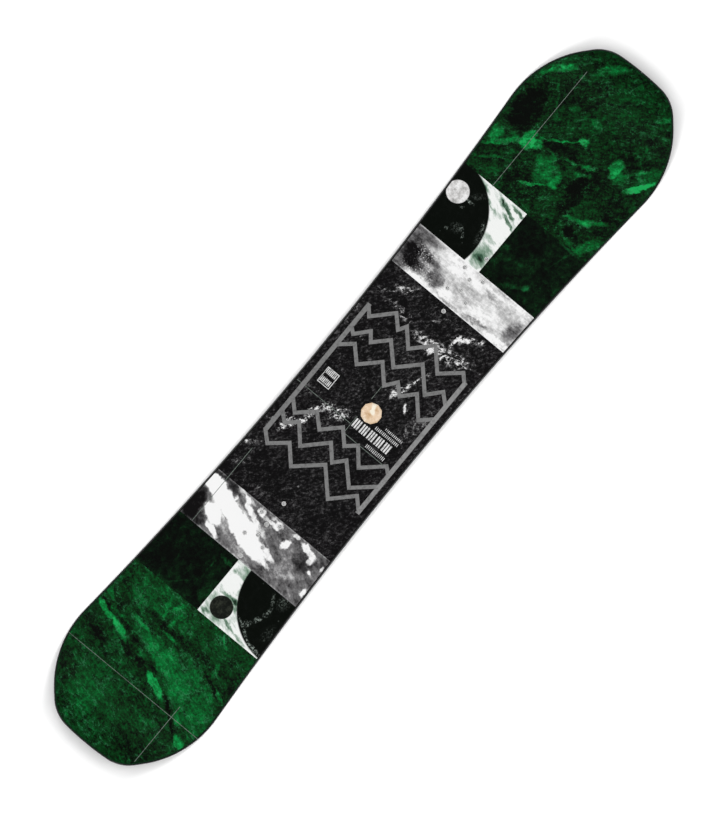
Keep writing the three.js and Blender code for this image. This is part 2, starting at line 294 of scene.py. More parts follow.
@dataclass(frozen=True)
class Surface:
    """How a material takes light, in the numbers of the Principled shader."""

    roughness: float
    metallic: float = 0.0
    specular: float = 0.5
    bump_mm: float = 0.0  # height of the relief

    def close(
        self, canvas: Canvas, colour: Link, relief: Link | None = None, roughness: Link | None = None
    ) -> None:
        """Ends a material with its shader.

        Args:
            canvas: The material's canvas.
            colour: The node or colour of the surface.
            relief: A node whose value from 0 to 1 is the height of the relief.
            roughness: A node that varies the roughness, instead of the even value.
        """
        links = {
            "Base Color": colour,
            "Metallic": self.metallic,
            "Roughness": self.roughness if roughness is None else roughness,
            "Specular IOR Level": self.specular,
        }
        if relief is not None:
            height = {"Height": relief, "Distance": self.bump_mm * MM, "Strength": 1.0}
            links["Normal"] = add(canvas.tree, "ShaderNodeBump", height)
        shader = add(canvas.tree, "ShaderNodeBsdfPrincipled", links)
        add(canvas.tree, "ShaderNodeOutputMaterial", {"Surface": shader})


# ---- Finishes -------------------------------------------------------------------------------

# The topsheet is polyamide film, printed from below and polished: colour under a clear, even
# skin with a soft gloss and hardly any relief.
TOP_FILM = Surface(roughness=0.2, specular=0.12, bump_mm=0.01)
FILM_WAVE_MM = 3.0  # size of the film's slight orange-peel


@dataclass(frozen=True)
class Finish:
    """A material, named for what it is made of and how."""

    name: str

    def dress(self, canvas: Canvas) -> None:
        """Adds the material's nodes."""
        raise NotImplementedError

    def build(self) -> Material:
        """Makes the material."""
        material = bpy.data.materials.new(self.name)
        material.use_nodes = True
        tree = material.node_tree
        tree.nodes.clear()
        links = {0: (add(tree, "ShaderNodeTexCoord"), "Object"), "Scale": 1 / MM}
        self.dress(Canvas(tree, add(tree, "ShaderNodeVectorMath", links, operation="SCALE")))
        return material


@dataclass(frozen=True)
class FilmPrint(Finish):
    """A print under the topsheet's clear film."""

    def colour(self, canvas: Canvas) -> Link:
        """Adds the print's colours."""
        raise NotImplementedError

    def dress(self, canvas: Canvas) -> None:
        """Adds the print and the film over it."""
        TOP_FILM.close(canvas, self.colour(canvas), canvas.noise(FILM_WAVE_MM, detail=2.0))


@dataclass(frozen=True)
class MarblePrint(FilmPrint):
    """Green marble: dark, marbled ground, torn bright patches, and thin pale veins."""

    patches: Patches
    vein_turn: float  # degrees
    level: float  # the ground's brightness on the ramp
    cloud: float = 0.5  # how strongly the ground varies from place to place
    marbling: float = 1.0
    streaks: float = 0.7
    grain: float = 0.6
    pale: float = 0.45
    colours: Stops = (
        (0.0, "010401"), (0.1, "041207"), (0.22, "07270c"), (0.36, "083d18"),
        (0.52, "075624"), (0.68, "077232"), (0.84, "0b8c42"), (1.0, "1ba955"),
    )

    def colour(self, canvas: Canvas) -> Link:
        """Adds the marble."""
        torn = canvas.ragged(30.0, reach_mm=4.5).ragged(10.0, reach_mm=3.2)
        shaken = canvas.ragged(12.0, reach_mm=2.5)
        lengthwise = canvas.stretched(self.vein_turn, along=2.0)
        terms = [
            (lengthwise.noise(50.0, detail=2.0), self.cloud),
            (shaken.noise(12.0, detail=3.0, roughness=0.85), self.marbling),
            (shaken.stretched(self.vein_turn, along=3.4).noise(5.0, detail=3.0, roughness=0.7), self.streaks),
            (canvas.noise(4.0, detail=2.0, roughness=0.8), self.grain),
        ]
        ground = canvas.total(terms, self.level - sum(weight for _, weight in terms) / 2)
        light = torn.patches(self.patches)
        crumble = lengthwise.noise(6.0, detail=3.0, roughness=0.8)
        uneven = canvas.maths("MULTIPLY_ADD", crumble, 1.5, 0.25)
        value = canvas.maths("MULTIPLY_ADD", light, uneven, ground)
        veins = lengthwise.ragged(20.0, reach_mm=4.0).veins(30.0, width=0.012)
        lit = canvas.step(value, 0.1, 0.5, 0.0, self.pale)  # no vein crosses the black hollows
        share = canvas.maths("MULTIPLY", veins, lit)
        return canvas.blend(share, canvas.ramp(value, self.colours), linear("45996a", LIGHT_GAIN))


@dataclass(frozen=True)
class PanelPrint(FilmPrint):
    """An end panel: one half dark green, the other white marble under a night-sky disc."""

    split_y: float
    white_above: bool
    sky: Patch
    moon: Patch
    moon_tones: Stops
    shades: Patches  # of the white half
    glints: Patches  # on the dark half
    dust: Patches  # on the sky
    dark_level: float

    def dark_half(self, canvas: Canvas) -> Node:
        """Adds the dark green half: hardly lit marble."""
        terms = [
            (canvas.ragged(12.0, reach_mm=2.5).noise(12.0, detail=3.0, roughness=0.8), 1.0),
            (canvas.noise(45.0, detail=2.0), 0.4),
            (canvas.stretched(-40.0, along=2.0).veins(40.0, width=0.01), 0.16),
        ]
        noise_middle = 0.7  # what the two noises add up to on average
        ground = canvas.total(terms, self.dark_level - noise_middle)
        value = canvas.ragged(9.0, reach_mm=3.5).patches(self.glints, ground)
        stops = [(0.0, "010301"), (0.15, "031206"), (0.3, "07240d"), (0.6, "0e4f27"), (1.0, "1f8046")]
        return canvas.ramp(value, stops)

    def white_half(self, canvas: Canvas) -> Node:
        """Adds the white marble half, with grey-green shades and slanting streaks."""
        streaks = canvas.stretched(66.0, along=2.6).noise(9.0, detail=4.0, roughness=0.7)
        value = canvas.ragged(10.0, reach_mm=3.0).patches(self.shades, canvas.total([(streaks, 1.3)], 0.19))
        stops = [(0.0, "101c12"), (0.22, "3d5f49"), (0.45, "86a08d"), (0.68, "ced9d1"), (0.85, "fbfdfb")]
        return canvas.ramp(value, stops)

    def sky_disc(self, canvas: Canvas) -> Socket:
        """Adds the night sky: black, with small stars and pale dust."""
        stars = canvas.specks(9.0, radius=0.22, share=0.16)
        dusty = canvas.ragged(7.0, reach_mm=2.0).patches(self.dust)
        dust = canvas.maths("MULTIPLY", dusty, canvas.crumbs(3.6, start=0.46, end=0.68))
        haze = canvas.crumbs(12.0, start=0.45, end=0.75, roughness=0.8)
        glow = canvas.total([(stars, 0.14), (dust, 1.0), (haze, 0.006)])
        return canvas.blend(glow, linear("010501", LIGHT_GAIN), linear("98a59c", LIGHT_GAIN))

    def colour(self, canvas: Canvas) -> Link:
        """Adds the two halves, the sky over the white one, and the moon's cratered face."""
        soft = 0.3 if self.white_above else -0.3  # mm, half the width of the change
        is_white = canvas.step(canvas.axis("Y"), self.split_y - soft, self.split_y + soft)
        colour = canvas.blend(is_white, self.dark_half(canvas), self.white_half(canvas))
        on_sky = canvas.maths("MULTIPLY", canvas.patch(self.sky), is_white)
        colour = canvas.blend(on_sky, colour, self.sky_disc(canvas))
        face = canvas.ramp(canvas.noise(11.0, detail=4.0, roughness=0.75), self.moon_tones)
        return canvas.blend(canvas.patch(self.moon), colour, face)


@dataclass(frozen=True)
class MoonBandPrint(FilmPrint):
    """A band of moon ground: torn white light over grey, with dark hollows."""

    patches: Patches
    turn: float  # direction of the streaks, in degrees
    stretch: float
    level: float
    contrast: float
    tear_mm: float
    edges: tuple[float, float]  # x of the band's two pale border lines
    edge_light: float
    dust: Patches = ()  # where pale crumbs lie on the ground
    pits: float = 0.6

    def colour(self, canvas: Canvas) -> Link:
        """Adds the band."""
        torn = canvas.ragged(13.0, reach_mm=self.tear_mm)
        cloud = canvas.stretched(self.turn, along=self.stretch).noise(16.0, 5.0, 0.72)
        pits = canvas.noise(7.0, detail=3.0, roughness=0.8)
        terms = [(cloud, self.contrast), (pits, self.pits)]
        value = torn.patches(self.patches, canvas.total(terms, self.level - (self.contrast + self.pits) / 2))
        for edge in self.edges:
            distance = canvas.maths("ABSOLUTE", canvas.maths("SUBTRACT", canvas.axis("X"), edge))
            value = canvas.total([(canvas.step(distance, 3.0, 1.0), self.edge_light)], value)
        if self.dust:
            crumbs = canvas.crumbs(3.2, start=0.52, end=0.66)
            fallen = canvas.maths("MULTIPLY", torn.patches(self.dust), crumbs)
            value = canvas.total([(fallen, 0.45)], value)
        stops = [(0.0, "0c0b0c"), (0.25, "3b3a3b"), (0.5, "7d7c7d"), (0.75, "c8c8c8"), (1.0, "ffffff")]
        return canvas.ramp(value, stops)


@dataclass(frozen=True)
class StonePrint(FilmPrint):
    """Black stone with fine pale grain, scratches, and torn white mineral veins in places."""

    vein_areas: Patches
    shards: Patches
    level: float = 0.05

    def colour(self, canvas: Canvas) -> Link:
        """Adds the stone."""
        terms = [
            (canvas.stretched(-35.0, along=1.5).noise(5.0, detail=3.0, roughness=0.85), 1.9),
            (canvas.noise(38.0, detail=3.0), 0.5),
            (canvas.stretched(-28.0, along=3.0).veins(20.0, width=0.008), 0.1),
        ]
        noise_middle = 1.2  # what the two noises add up to on average
        ground = canvas.total(terms, self.level - noise_middle)
        area = canvas.ragged(16.0, reach_mm=6.0).patches(self.vein_areas)
        cracks = canvas.stretched(-45.0, along=1.4).veins(15.0, width=0.045)
        crumbs = canvas.stretched(-45.0, along=1.5).noise(6.0, detail=4.0, roughness=0.8)
        lit = canvas.step(canvas.total([(crumbs, 1.0), (area, 0.1)]), 0.52, 0.72)
        veins = canvas.maths("MULTIPLY", canvas.total([(lit, 0.6), (cracks, 0.7)]), area)
        dust = canvas.specks(7.0, radius=0.13, share=0.12)
        shards = canvas.ragged(7.0, reach_mm=2.0).patches(self.shards)
        value = canvas.total([(veins, 1.0), (dust, 0.3), (shards, 1.0)], ground)
        stops = [(0.0, "0a090a"), (0.2, "232223"), (0.45, "545354"), (0.7, "a3a3a3"), (1.0, "f8f8f8")]
        return canvas.ramp(value, stops)


@dataclass(frozen=True)
class BorderPrint(FilmPrint):
    """The border that is printed round the topsheet: black, and darkest green past the panels."""

    green_from: float = 480.0  # mm from the board's middle
    change: float = 10.0  # mm over which it turns green

    def colour(self, canvas: Canvas) -> Link:
        """Adds the border's two colours."""
        grain = canvas.noise(5.0, detail=3.0, roughness=0.8)
        black = canvas.ramp(grain, [(0.35, "060806"), (0.65, "101210")])
        green = canvas.ramp(grain, [(0.3, "04100a"), (0.6, "083418")])
        away = canvas.maths("ABSOLUTE", canvas.axis("X"))
        at_end = canvas.step(away, self.green_from, self.green_from + self.change)
        return canvas.blend(at_end, black, green)


@dataclass(frozen=True)
class Grain:
    """One noise of a plain finish."""

    size_mm: float
    detail: float = 4.0
    roughness: float = 0.55
    turn: float = 0.0  # degrees
    stretch: float = 1.0  # along the board, unless it is turned
    weight: float = 1.0

    def draw(self, canvas: Canvas) -> Node:
        """Adds the noise."""
        drawn_on = canvas if self.stretch == 1.0 else canvas.stretched(self.turn, along=self.stretch)
        return drawn_on.noise(self.size_mm, self.detail, self.roughness)


@dataclass(frozen=True)
class GrainedFinish(Finish):
    """A finish of two tones, which follow one or two noises. The first noise is its relief."""

    tones: Stops
    surface: Surface
    grains: tuple[Grain, ...]
    offset: float = 0.0
    gloss: Span = None  # roughness where the last noise is low and high

    def dress(self, canvas: Canvas) -> None:
        """Adds the material's nodes."""
        drawn = [grain.draw(canvas) for grain in self.grains]
        value = drawn[0]
        if len(drawn) > 1:
            weights = [grain.weight for grain in self.grains]
            value = canvas.total(list(zip(drawn, weights)), self.offset)
        rough = canvas.step(drawn[-1], 0.3, 0.7, *self.gloss) if self.gloss else None
        self.surface.close(canvas, canvas.ramp(value, self.tones), drawn[0], rough)


def screen_ink(name: str, colour: str, worn: str) -> GrainedFinish:
    """Gives a screen-printed ink on the topsheet: flat, dense, a little worn, with a matt skin."""
    surface = Surface(roughness=0.45, specular=0.3, bump_mm=0.01)
    return GrainedFinish(name, ((0.36, worn), (0.52, colour)), surface, (Grain(6.0, 5.0, 0.7),))


def sawn_wood(name: str, pale: str, dark: str) -> GrainedFinish:
    """Gives a sawn and planed core strip: long grain along the board, with darker late wood."""
    grains = (Grain(3.0, 6.0, 0.6, 1.5, 30.0, 0.7), Grain(18.0, 3.0, turn=-1.0, stretch=8.0, weight=0.5))
    return GrainedFinish(name, ((0.3, dark), (0.7, pale)), Surface(0.7, bump_mm=0.05), grains, -0.1)


# Edge steel, ground along its length: bright, with fine streaks across the light.
GROUND_STEEL = GrainedFinish(
    "ground_edge_steel",
    ((0.3, "8f9294"), (0.7, "c9cbcd")),
    Surface(roughness=0.3, metallic=1.0, bump_mm=0.02),
    (Grain(0.9, 3.0, 0.7, stretch=40.0),),
    gloss=(0.24, 0.42),
)
# Stainless steel turned on a lathe: pale grey, fine-grained, with a soft shine.
TURNED_STEEL = GrainedFinish(
    "turned_stainless_steel",
    ((0.3, "f0f1f1"), (0.7, "ffffff")),
    Surface(roughness=0.5, metallic=0.1, bump_mm=0.01),
    (Grain(0.8, 3.0, 0.6),),
)
# Sintered polyethylene, stone-ground: waxy black with fine lengthwise structure lines. The real
# structure is 0.3 mm wide. It is drawn at 1.6 mm, so that it shows.
SINTERED_BASE = GrainedFinish(
    "sintered_polyethylene_base",
    ((0.35, "111214"), (0.65, "25272a")),
    Surface(roughness=0.45, specular=0.4, bump_mm=0.05),
    (Grain(1.6, 2.0, turn=3.0, stretch=60.0, weight=0.6), Grain(60.0, 5.0, stretch=5.0, weight=0.4)),
    gloss=(0.36, 0.52),
)
# Black ABS, milled to its bevel: satin, with faint cutter marks along it.
MILLED_ABS = GrainedFinish(
    "milled_black_abs",
    ((0.3, "040405"), (0.7, "0c0c0e")),
    Surface(roughness=0.42, specular=0.25, bump_mm=0.03),
    (Grain(1.2, 3.0, stretch=30.0),),
    gloss=(0.36, 0.5),
)
# Thin vulcanised rubber foil: dull black with a dusty bloom.
RUBBER_FOIL = GrainedFinish(
    "rubber_damping_foil",
    ((0.35, "121212"), (0.7, "2a2a2a")),
    Surface(roughness=0.85, bump_mm=0.02),
    (Grain(5.0, 5.0),),
)


@dataclass(frozen=True)
class CuredGlass(Finish):
    """Glass cloth in cured epoxy: translucent straw, with the yarns of the cloth inside it."""

    yarn_mm: float = 2.0

    def dress(self, canvas: Canvas) -> None:
        """Adds the material's nodes."""
        diagonal = canvas.stretched(45.0, self.yarn_mm / math.pi, self.yarn_mm / math.pi)
        weave = add(canvas.tree, "ShaderNodeTexChecker", {"Vector": diagonal.place, "Scale": 1.0})
        cloud = canvas.noise(12.0)
        value = canvas.total([((weave, "Fac"), 0.25), (cloud, 0.6)], 0.08)
        colour = canvas.ramp(value, [(0.2, "a7a27c"), (0.8, "d8d5b4")])
        Surface(roughness=0.4, bump_mm=0.03).close(canvas, colour, cloud)


@dataclass(frozen=True)
class CutPolymer(Finish):
    """The stud: cast polymer in peach and cream, swirled, with polished facets; its highlight and shade, and
    the light on each facet, are painted into the colour.
    """

    painted_highlight_and_shade: Patches  # pale ones a painted highlight, dark ones painted shade
    middle: tuple[float, float]
    facets: int
    table_radius: float

    def painted_facet_light(self, canvas: Canvas) -> Node:
        """Adds a painted shade or highlight to each crown facet, a random one for each, as if each facet
        caught the light differently.
        """
        local = canvas.vectors("SUBTRACT", canvas.place, (*self.middle, 0.0))
        around = Canvas(canvas.tree, local)
        angle = canvas.maths("ARCTAN2", around.axis("Y"), around.axis("X"))
        first = 50.0  # the number of the facet at angle 0, which picks its random tone
        number = canvas.maths("FLOOR", canvas.maths("MULTIPLY_ADD", angle, self.facets / math.tau, first))
        facet_light_tone = add(canvas.tree, "ShaderNodeTexWhiteNoise", {"W": number}, noise_dimensions="1D")
        away = canvas.vectors("LENGTH", canvas.vectors("MULTIPLY", local, (1.0, 1.0, 0.0)))
        soft = 0.2  # mm, half the width of the change
        on_crown = canvas.step((away, "Value"), self.table_radius - soft, self.table_radius + soft)
        return canvas.maths("MULTIPLY", canvas.maths("SUBTRACT", facet_light_tone, 0.5), on_crown)

    def dress(self, canvas: Canvas) -> None:
        """Adds the material's nodes."""
        swirl = canvas.noise(6.0, detail=5.0, roughness=0.65)
        # The pale marks are a painted highlight and the dark ones painted shade, laid over the polymer's own
        # swirl.
        value = canvas.ragged(9.0, reach_mm=1.6).patches(self.painted_highlight_and_shade, canvas.total([(swirl, 0.7)], 0.16))
        # Each crown facet gets a random painted shade or highlight.
        value = canvas.total([(self.painted_facet_light(canvas), 0.45)], value)
        stops = [(0.1, "c79f73"), (0.38, "e3c39d"), (0.6, "f1dabe"), (0.85, "fff7e3")]
        Surface(roughness=0.28, specular=0.45, bump_mm=0.02).close(canvas, canvas.ramp(value, stops), swirl)


@dataclass(frozen=True)
class FoamTape(Finish):
    """Acrylic foam tape: grey, even, with fine open cells on its cut edge."""

    cell_mm: float = 0.6

    def dress(self, canvas: Canvas) -> None:
        """Adds the material's nodes."""
        links = {"Vector": canvas.place, "Scale": 1 / self.cell_mm}
        cells = (add(canvas.tree, "ShaderNodeTexVoronoi", links), "Distance")
        # Each cell is darker towards its hollow, where the relief is lowest: painted shade in the open cells.
        colour = canvas.ramp(cells, [(0.1, "5d5a54"), (0.6, "8d8980")])
        Surface(roughness=0.85, bump_mm=0.1).close(canvas, colour, cells)


@dataclass(frozen=True)
class StudioFloor(Finish):
    """Pale painted studio floor: almost white, dead matt, with the faintest mottling."""

    def dress(self, canvas: Canvas) -> None:
        """Adds the material's nodes."""
        share = canvas.step(canvas.noise(300.0, detail=3.0), 0.3, 0.7)
        colour = canvas.blend(share, linear("f6f6f6"), linear("f9f9f9"))
        Surface(roughness=0.9, specular=0.1).close(canvas, colour)


# ---- Shape of the board ---------------------------------------------------------------------

SMOOTH_DEGREES = 28.0  # edges that turn less are shaded smooth, unless a piece needs otherwise


@dataclass(frozen=True)
class Level:
    """The height of a face: some mm of layers over the running surface, and a share of the core."""

    sheets: float
    core: float = 0.0


RimPoint = tuple[float, Level]  # how far inside the outline, and how high


class Side(Enum):
    """The two long sides of the board."""

    LEFT = 1.0
    RIGHT = -1.0


@dataclass(frozen=True)
class BoardForm:
    """The board's outline and side profile, which every layer follows."""

    half_waist: float = 134.4
    sidecut_radius: float = 7914.0
    sidecut_end: float = 619.0
    shoulder: tuple[float, float] = (197.9, 0.7963)  # radius and turn of the arc
    flank: tuple[float, float] = (730.0, 0.0282)
    corner_radius: float = 74.8
    nose_half_turn: float = 0.086
    camber_height: float = 5.0
    contact_start: float = 600.0
    contact_end: float = 640.0
    kick_radius: float = 316.7
    core_middle: float = 6.3
    core_tip: float = 2.2
    core_full_until: float = 365.0
    core_thin_from: float = 640.0
    half_gap: float = 0.15  # between the two halves of the outline, at the nose
    arc_steps: tuple[int, int, int, int] = (26, 3, 22, 10)  # on the shoulder, flank, corner and nose

    def height(self, x: np.ndarray | float, level: Level) -> np.ndarray:
        """Gives the height of a level above the snow.

        Args:
            x: Places along the board.
            level: The level.

        Returns:
            The heights.
        """
        x = np.abs(x)
        share = np.minimum(x, self.contact_start) / self.contact_start
        camber = self.camber_height / 2 * (1 + np.cos(np.pi * share))
        past = np.clip(x - self.contact_end, 0.0, None)
        drop = np.sqrt(self.kick_radius**2 - past**2)
        thinning = (x - self.core_full_until) / (self.core_thin_from - self.core_full_until)
        core = self.core_middle + (self.core_tip - self.core_middle) * np.clip(thinning, 0.0, 1.0)
        upright = self.kick_radius / drop  # a sloping layer is taller than it is thick
        return camber + self.kick_radius - drop + (level.sheets + level.core * core) * upright

    def quarter(self, spacing: float) -> np.ndarray:
        """Walks the outline from the waist to the nose on the +X, +Y side.

        Args:
            spacing: The distance between points on the long arcs.

        Returns:
            One row for each point: x, y, and the unit normal that points into the board.
        """
        heading = 0.0
        point = np.array([0.0, self.half_waist])
        rows = []

        def follow(radius: float, end: float, steps: int) -> None:
            """Adds an arc: a positive radius turns into the board."""
            nonlocal heading, point
            centre = point + radius * np.array([math.sin(heading), -math.cos(heading)])
            for angle in np.linspace(heading, end, steps + 1)[0 if not rows else 1 :]:
                inward = np.array([math.sin(angle), -math.cos(angle)])
                rows.append([*(centre - radius * inward), *inward])
            heading = end
            point = np.array(rows[-1][:2])

        on_shoulder, on_flank, on_corner, on_nose = self.arc_steps
        sidecut_turn = math.asin(self.sidecut_end / self.sidecut_radius)
        follow(-self.sidecut_radius, sidecut_turn, round(self.sidecut_end / spacing))
        follow(self.shoulder[0], heading - self.shoulder[1], on_shoulder)
        follow(self.flank[0], heading - self.flank[1], on_flank)
        follow(self.corner_radius, self.nose_half_turn - math.pi / 2, on_corner)
        nose_radius = point[1] / math.cos(heading)
        last = math.asin(self.half_gap / nose_radius) - math.pi / 2
        follow(nose_radius, last, on_nose)
        return np.array(rows)

    def side(self, spacing: float = 9.0, stops: Sequence[float] = ()) -> np.ndarray:
        """Gives the +Y side of the outline, from the tail's nose to the tip's.

        Args:
            spacing: The distance between points on the long arcs.
            stops: Places along the board that must have a point.

        Returns:
            Rows as quarter() gives them.
        """
        too_near = 0.05  # mm, for a point beside a stop
        front = self.quarter(spacing)
        rows = np.vstack([front[:0:-1] * np.array([-1.0, 1.0, -1.0, 1.0]), front])
        for stop in stops:
            extra = [np.interp(stop, rows[:, 0], rows[:, column]) for column in range(4)]
            rows = rows[np.abs(rows[:, 0] - stop) > too_near]
            rows = np.insert(rows, np.searchsorted(rows[:, 0], stop), extra, axis=0)
        return rows

    def place_rim(self, rows: np.ndarray, rim: Sequence[RimPoint], span: Span = None) -> np.ndarray:
        """Places a rim profile at each point of the outline.

        Args:
            rows: Outline points with their inward normals.
            rim: The profile.
            span: Where along x the piece starts and ends, if it isn't as long as the board.

        Returns:
            Corners, by outline point, rim point and axis.
        """
        columns = []
        for inset, level in rim:
            line = rows[:, :2] + inset * rows[:, 2:]
            flat = line
            if span:
                flat = line[(rows[:, 0] >= span[0]) & (rows[:, 0] <= span[1])].copy()
                for end, cut in zip((0, -1), span):
                    if abs(cut) < rows[-1, 0]:
                        square_end(flat, line, end, cut)
            columns.append(np.column_stack([flat, self.height(flat[:, 0], level)]))
        return np.stack(columns, axis=1)

    def plate(
        self, name: str, rows: np.ndarray, rim: Sequence[RimPoint], columns: int = 0, span: Span = None
    ) -> Object:
        """Makes a layer that spans the board, the same on both sides.

        Args:
            name: The object's name.
            rows: Outline points of the +Y side, from the tail to the tip.
            rim: The profile of the rim, from the bottom face to the top face.
            columns: How many lines of corners run along the faces between the rims.
            span: Where along x the layer starts and ends, if it isn't as long as the board.

        Returns:
            The object. Its section goes up the left rim, across the top face, down the right rim and
            back across the bottom face.
        """
        left = self.place_rim(rows, rim, span)
        right = left[:, ::-1] * np.array([1.0, -1.0, 1.0])
        shares = np.linspace(1, -1, columns + 2)[1:-1]
        across = np.column_stack([np.ones(columns), shares, np.ones(columns)])
        top = left[:, -1:] * across
        bottom = left[:, :1] * across[::-1]
        return make_object(name, *loft(np.concatenate([left, top, right, bottom], axis=1)))

    def rail(
        self, name: str, rows: np.ndarray, section: Sequence[RimPoint], side: Side, span: Span = None
    ) -> Object:
        """Makes a strip that runs along one side.

        Args:
            name: The object's name.
            rows: Outline points of the +Y side, from the tail to the tip.
            section: The closed section of the strip.
            side: The side of the board.
            span: Where along x the strip starts and ends, if it isn't as long as the board.

        Returns:
            The object.
        """
        rings = self.place_rim(rows, section, span) * np.array([1.0, side.value, 1.0])
        return make_object(name, *loft(rings))


def make_object(
    name: str, vertices: np.ndarray, faces: Sequence[Sequence[int]], smooth_degrees: float = SMOOTH_DEGREES
) -> Object:
    """Makes an object from corners in millimetres.

    Args:
        name: The object's name.
        vertices: The corners, one row each.
        faces: The faces, as corner numbers.
        smooth_degrees: Edges that turn less than this are shaded smooth.

    Returns:
        The object, at the origin, with its faces pointing outwards.
    """
    mesh = bpy.data.meshes.new(name)
    mesh.from_pydata((np.asarray(vertices) * MM).tolist(), [], [list(face) for face in faces])
    tidy = bmesh.new()
    tidy.from_mesh(mesh)
    bmesh.ops.recalc_face_normals(tidy, faces=tidy.faces)
    tidy.to_mesh(mesh)
    tidy.free()
    shade(mesh, smooth_degrees)
    made = bpy.data.objects.new(name, mesh)
    bpy.context.scene.collection.objects.link(made)
    return made


def shade(mesh: bpy.types.Mesh, smooth_degrees: float) -> None:
    """Shades a mesh smooth, except at edges that turn by more than some degrees."""
    mesh.shade_smooth()
    mesh.set_sharp_from_angle(angle=math.radians(smooth_degrees))


def loft(rings: np.ndarray) -> Skin:
    """Joins a row of equal closed rings into a closed skin.

    Args:
        rings: Corners, by ring, corner and axis.

    Returns:
        The corners and the faces.
    """
    count, size = rings.shape[:2]
    faces = [list(range(size))[::-1], [(count - 1) * size + i for i in range(size)]]
    for ring in range(count - 1):
        for i in range(size):
            j = (i + 1) % size
            faces.append([ring * size + i, ring * size + j, (ring + 1) * size + j, (ring + 1) * size + i])
    return rings.reshape(-1, 3), faces


def turned(x: float, y: float, profile: Points, sides: int) -> Skin:
    """Turns a profile about an upright axis at x, y.

    Args:
        x: The axis's place along the board.
        y: Its place across the board.
        profile: Radius and height of each ring, from the bottom up.
        sides: The number of sides.

    Returns:
        The corners and the faces.
    """
    angles = math.tau * np.arange(sides) / sides
    circle = np.column_stack([np.cos(angles), np.sin(angles), np.zeros(sides)])
    return loft(np.array([circle * radius + (x, y, height) for radius, height in profile]))


def square_end(part: np.ndarray, line: np.ndarray, end: int, cut: float) -> None:
    """Slides the last points of a part along their line, so that the part ends at x = cut.

    Args:
        part: Points of the part, changed in place.
        line: Points of the whole line.
        end: Which point ends the part, 0 or -1.
        cut: Where it has to end.
    """
    reach = 30.0  # mm, over which the slide fades out
    weight = np.clip(1 - np.abs(part[:, 0] - part[end, 0]) / reach, 0.0, 1.0)
    near = weight > 0
    part[near, 0] += (cut - part[end, 0]) * weight[near]
    part[near, 1] = np.interp(part[near, 0], line[:, 0], line[:, 1])


def finish_piece(piece: Object, materials: Sequence[Material], slot: str, nodes: Sequence[str]) -> None:
    """Dresses a piece and ties it to the frame.

    Args:
        piece: The piece.
        materials: Its materials, in the order of its slots.
        slot: The record's material slot.
        nodes: The frame's nodes that it stands for.
    """
    if materials:
        piece.data.materials.clear()
        for material in materials:
            piece.data.materials.append(material)
    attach(piece, BODY)
    if nodes:
        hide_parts(*nodes)
    log.info("%s: %d faces, slot %s", piece.name, len(piece.data.polygons), slot)


# ---- Modifiers and Geometry Nodes -----------------------------------------------------------


def bake(piece: Object, modifier: bpy.types.Modifier, smooth_degrees: float) -> None:
    """Keeps what a modifier makes of a piece as the piece's plain mesh.

    Args:
        piece: The piece.
        modifier: Its only modifier, which is removed.
        smooth_degrees: Edges that turn less than this are shaded smooth.
    """
    bpy.context.view_layer.update()
    evaluated = piece.evaluated_get(bpy.context.evaluated_depsgraph_get())
    result = bpy.data.meshes.new_from_object(evaluated)
    piece.modifiers.remove(modifier)
    piece.data = result
    shade(result, smooth_degrees)


def new_node_tool(name: str, sizes: Mapping[str, float]) -> tuple[Tree, Node, Node]:
    """Makes an empty Geometry Nodes tree.

    Args:
        name: The tree's name.
        sizes: Its size inputs, in metres, with their values.

    Returns:
        The tree, its input node and its output node.
    """
    tree = bpy.data.node_groups.new(name, "GeometryNodeTree")
    tree.interface.new_socket("Geometry", in_out="INPUT", socket_type="NodeSocketGeometry")
    tree.interface.new_socket("Geometry", in_out="OUTPUT", socket_type="NodeSocketGeometry")
    for size in sizes:
        tree.interface.new_socket(size, in_out="INPUT", socket_type="NodeSocketFloat")
    return tree, add(tree, "NodeGroupInput"), add(tree, "NodeGroupOutput")


def finish_node_tool(tree: Tree, geometry: Node, material: Material, result: Node) -> None:
    """Makes a tree's geometry real, dresses it and hands it to the output node."""
    real = add(tree, "GeometryNodeRealizeInstances", {"Geometry": geometry})
    dressed = add(tree, "GeometryNodeSetMaterial", {"Geometry": real, "Material": material})
    tree.links.new(dressed.outputs[0], result.inputs[0])


def run_node_tool(source: Object, tree: Tree, sizes: Mapping[str, float], smooth_degrees: float) -> None:
    """Runs a Geometry Nodes tree on an object and keeps the result as its plain mesh.

    Args:
        source: The object with the tree's input geometry.
        tree: The tree.
        sizes: The values of its inputs, by name.
        smooth_degrees: Edges that turn less than this are shaded smooth.
    """
    modifier = source.modifiers.new(tree.name, "NODES")
    modifier.node_group = tree
    for item in tree.interface.items_tree:
        if item.name in sizes:
            modifier[item.identifier] = sizes[item.name]
    bake(source, modifier, smooth_degrees)


# ---- Sub-assemblies -------------------------------------------------------------------------

BASE_TOP = 1.2
EDGE_TOP = 1.9
FLANGE_FLOOR = 1.3
FOIL = (2.0, 2.2)
GLASS_RIM = (2.3, 2.9)
GLASS_FLOOR = (1.3, 1.9)
WALL_FLOOR = 3.0
CORE_FLOOR = 2.0
TOP_GLASS = (Level(2.1, 1.0), Level(2.7, 1.0))
TOPSHEET = (Level(2.8, 1.0), Level(3.3, 1.0))


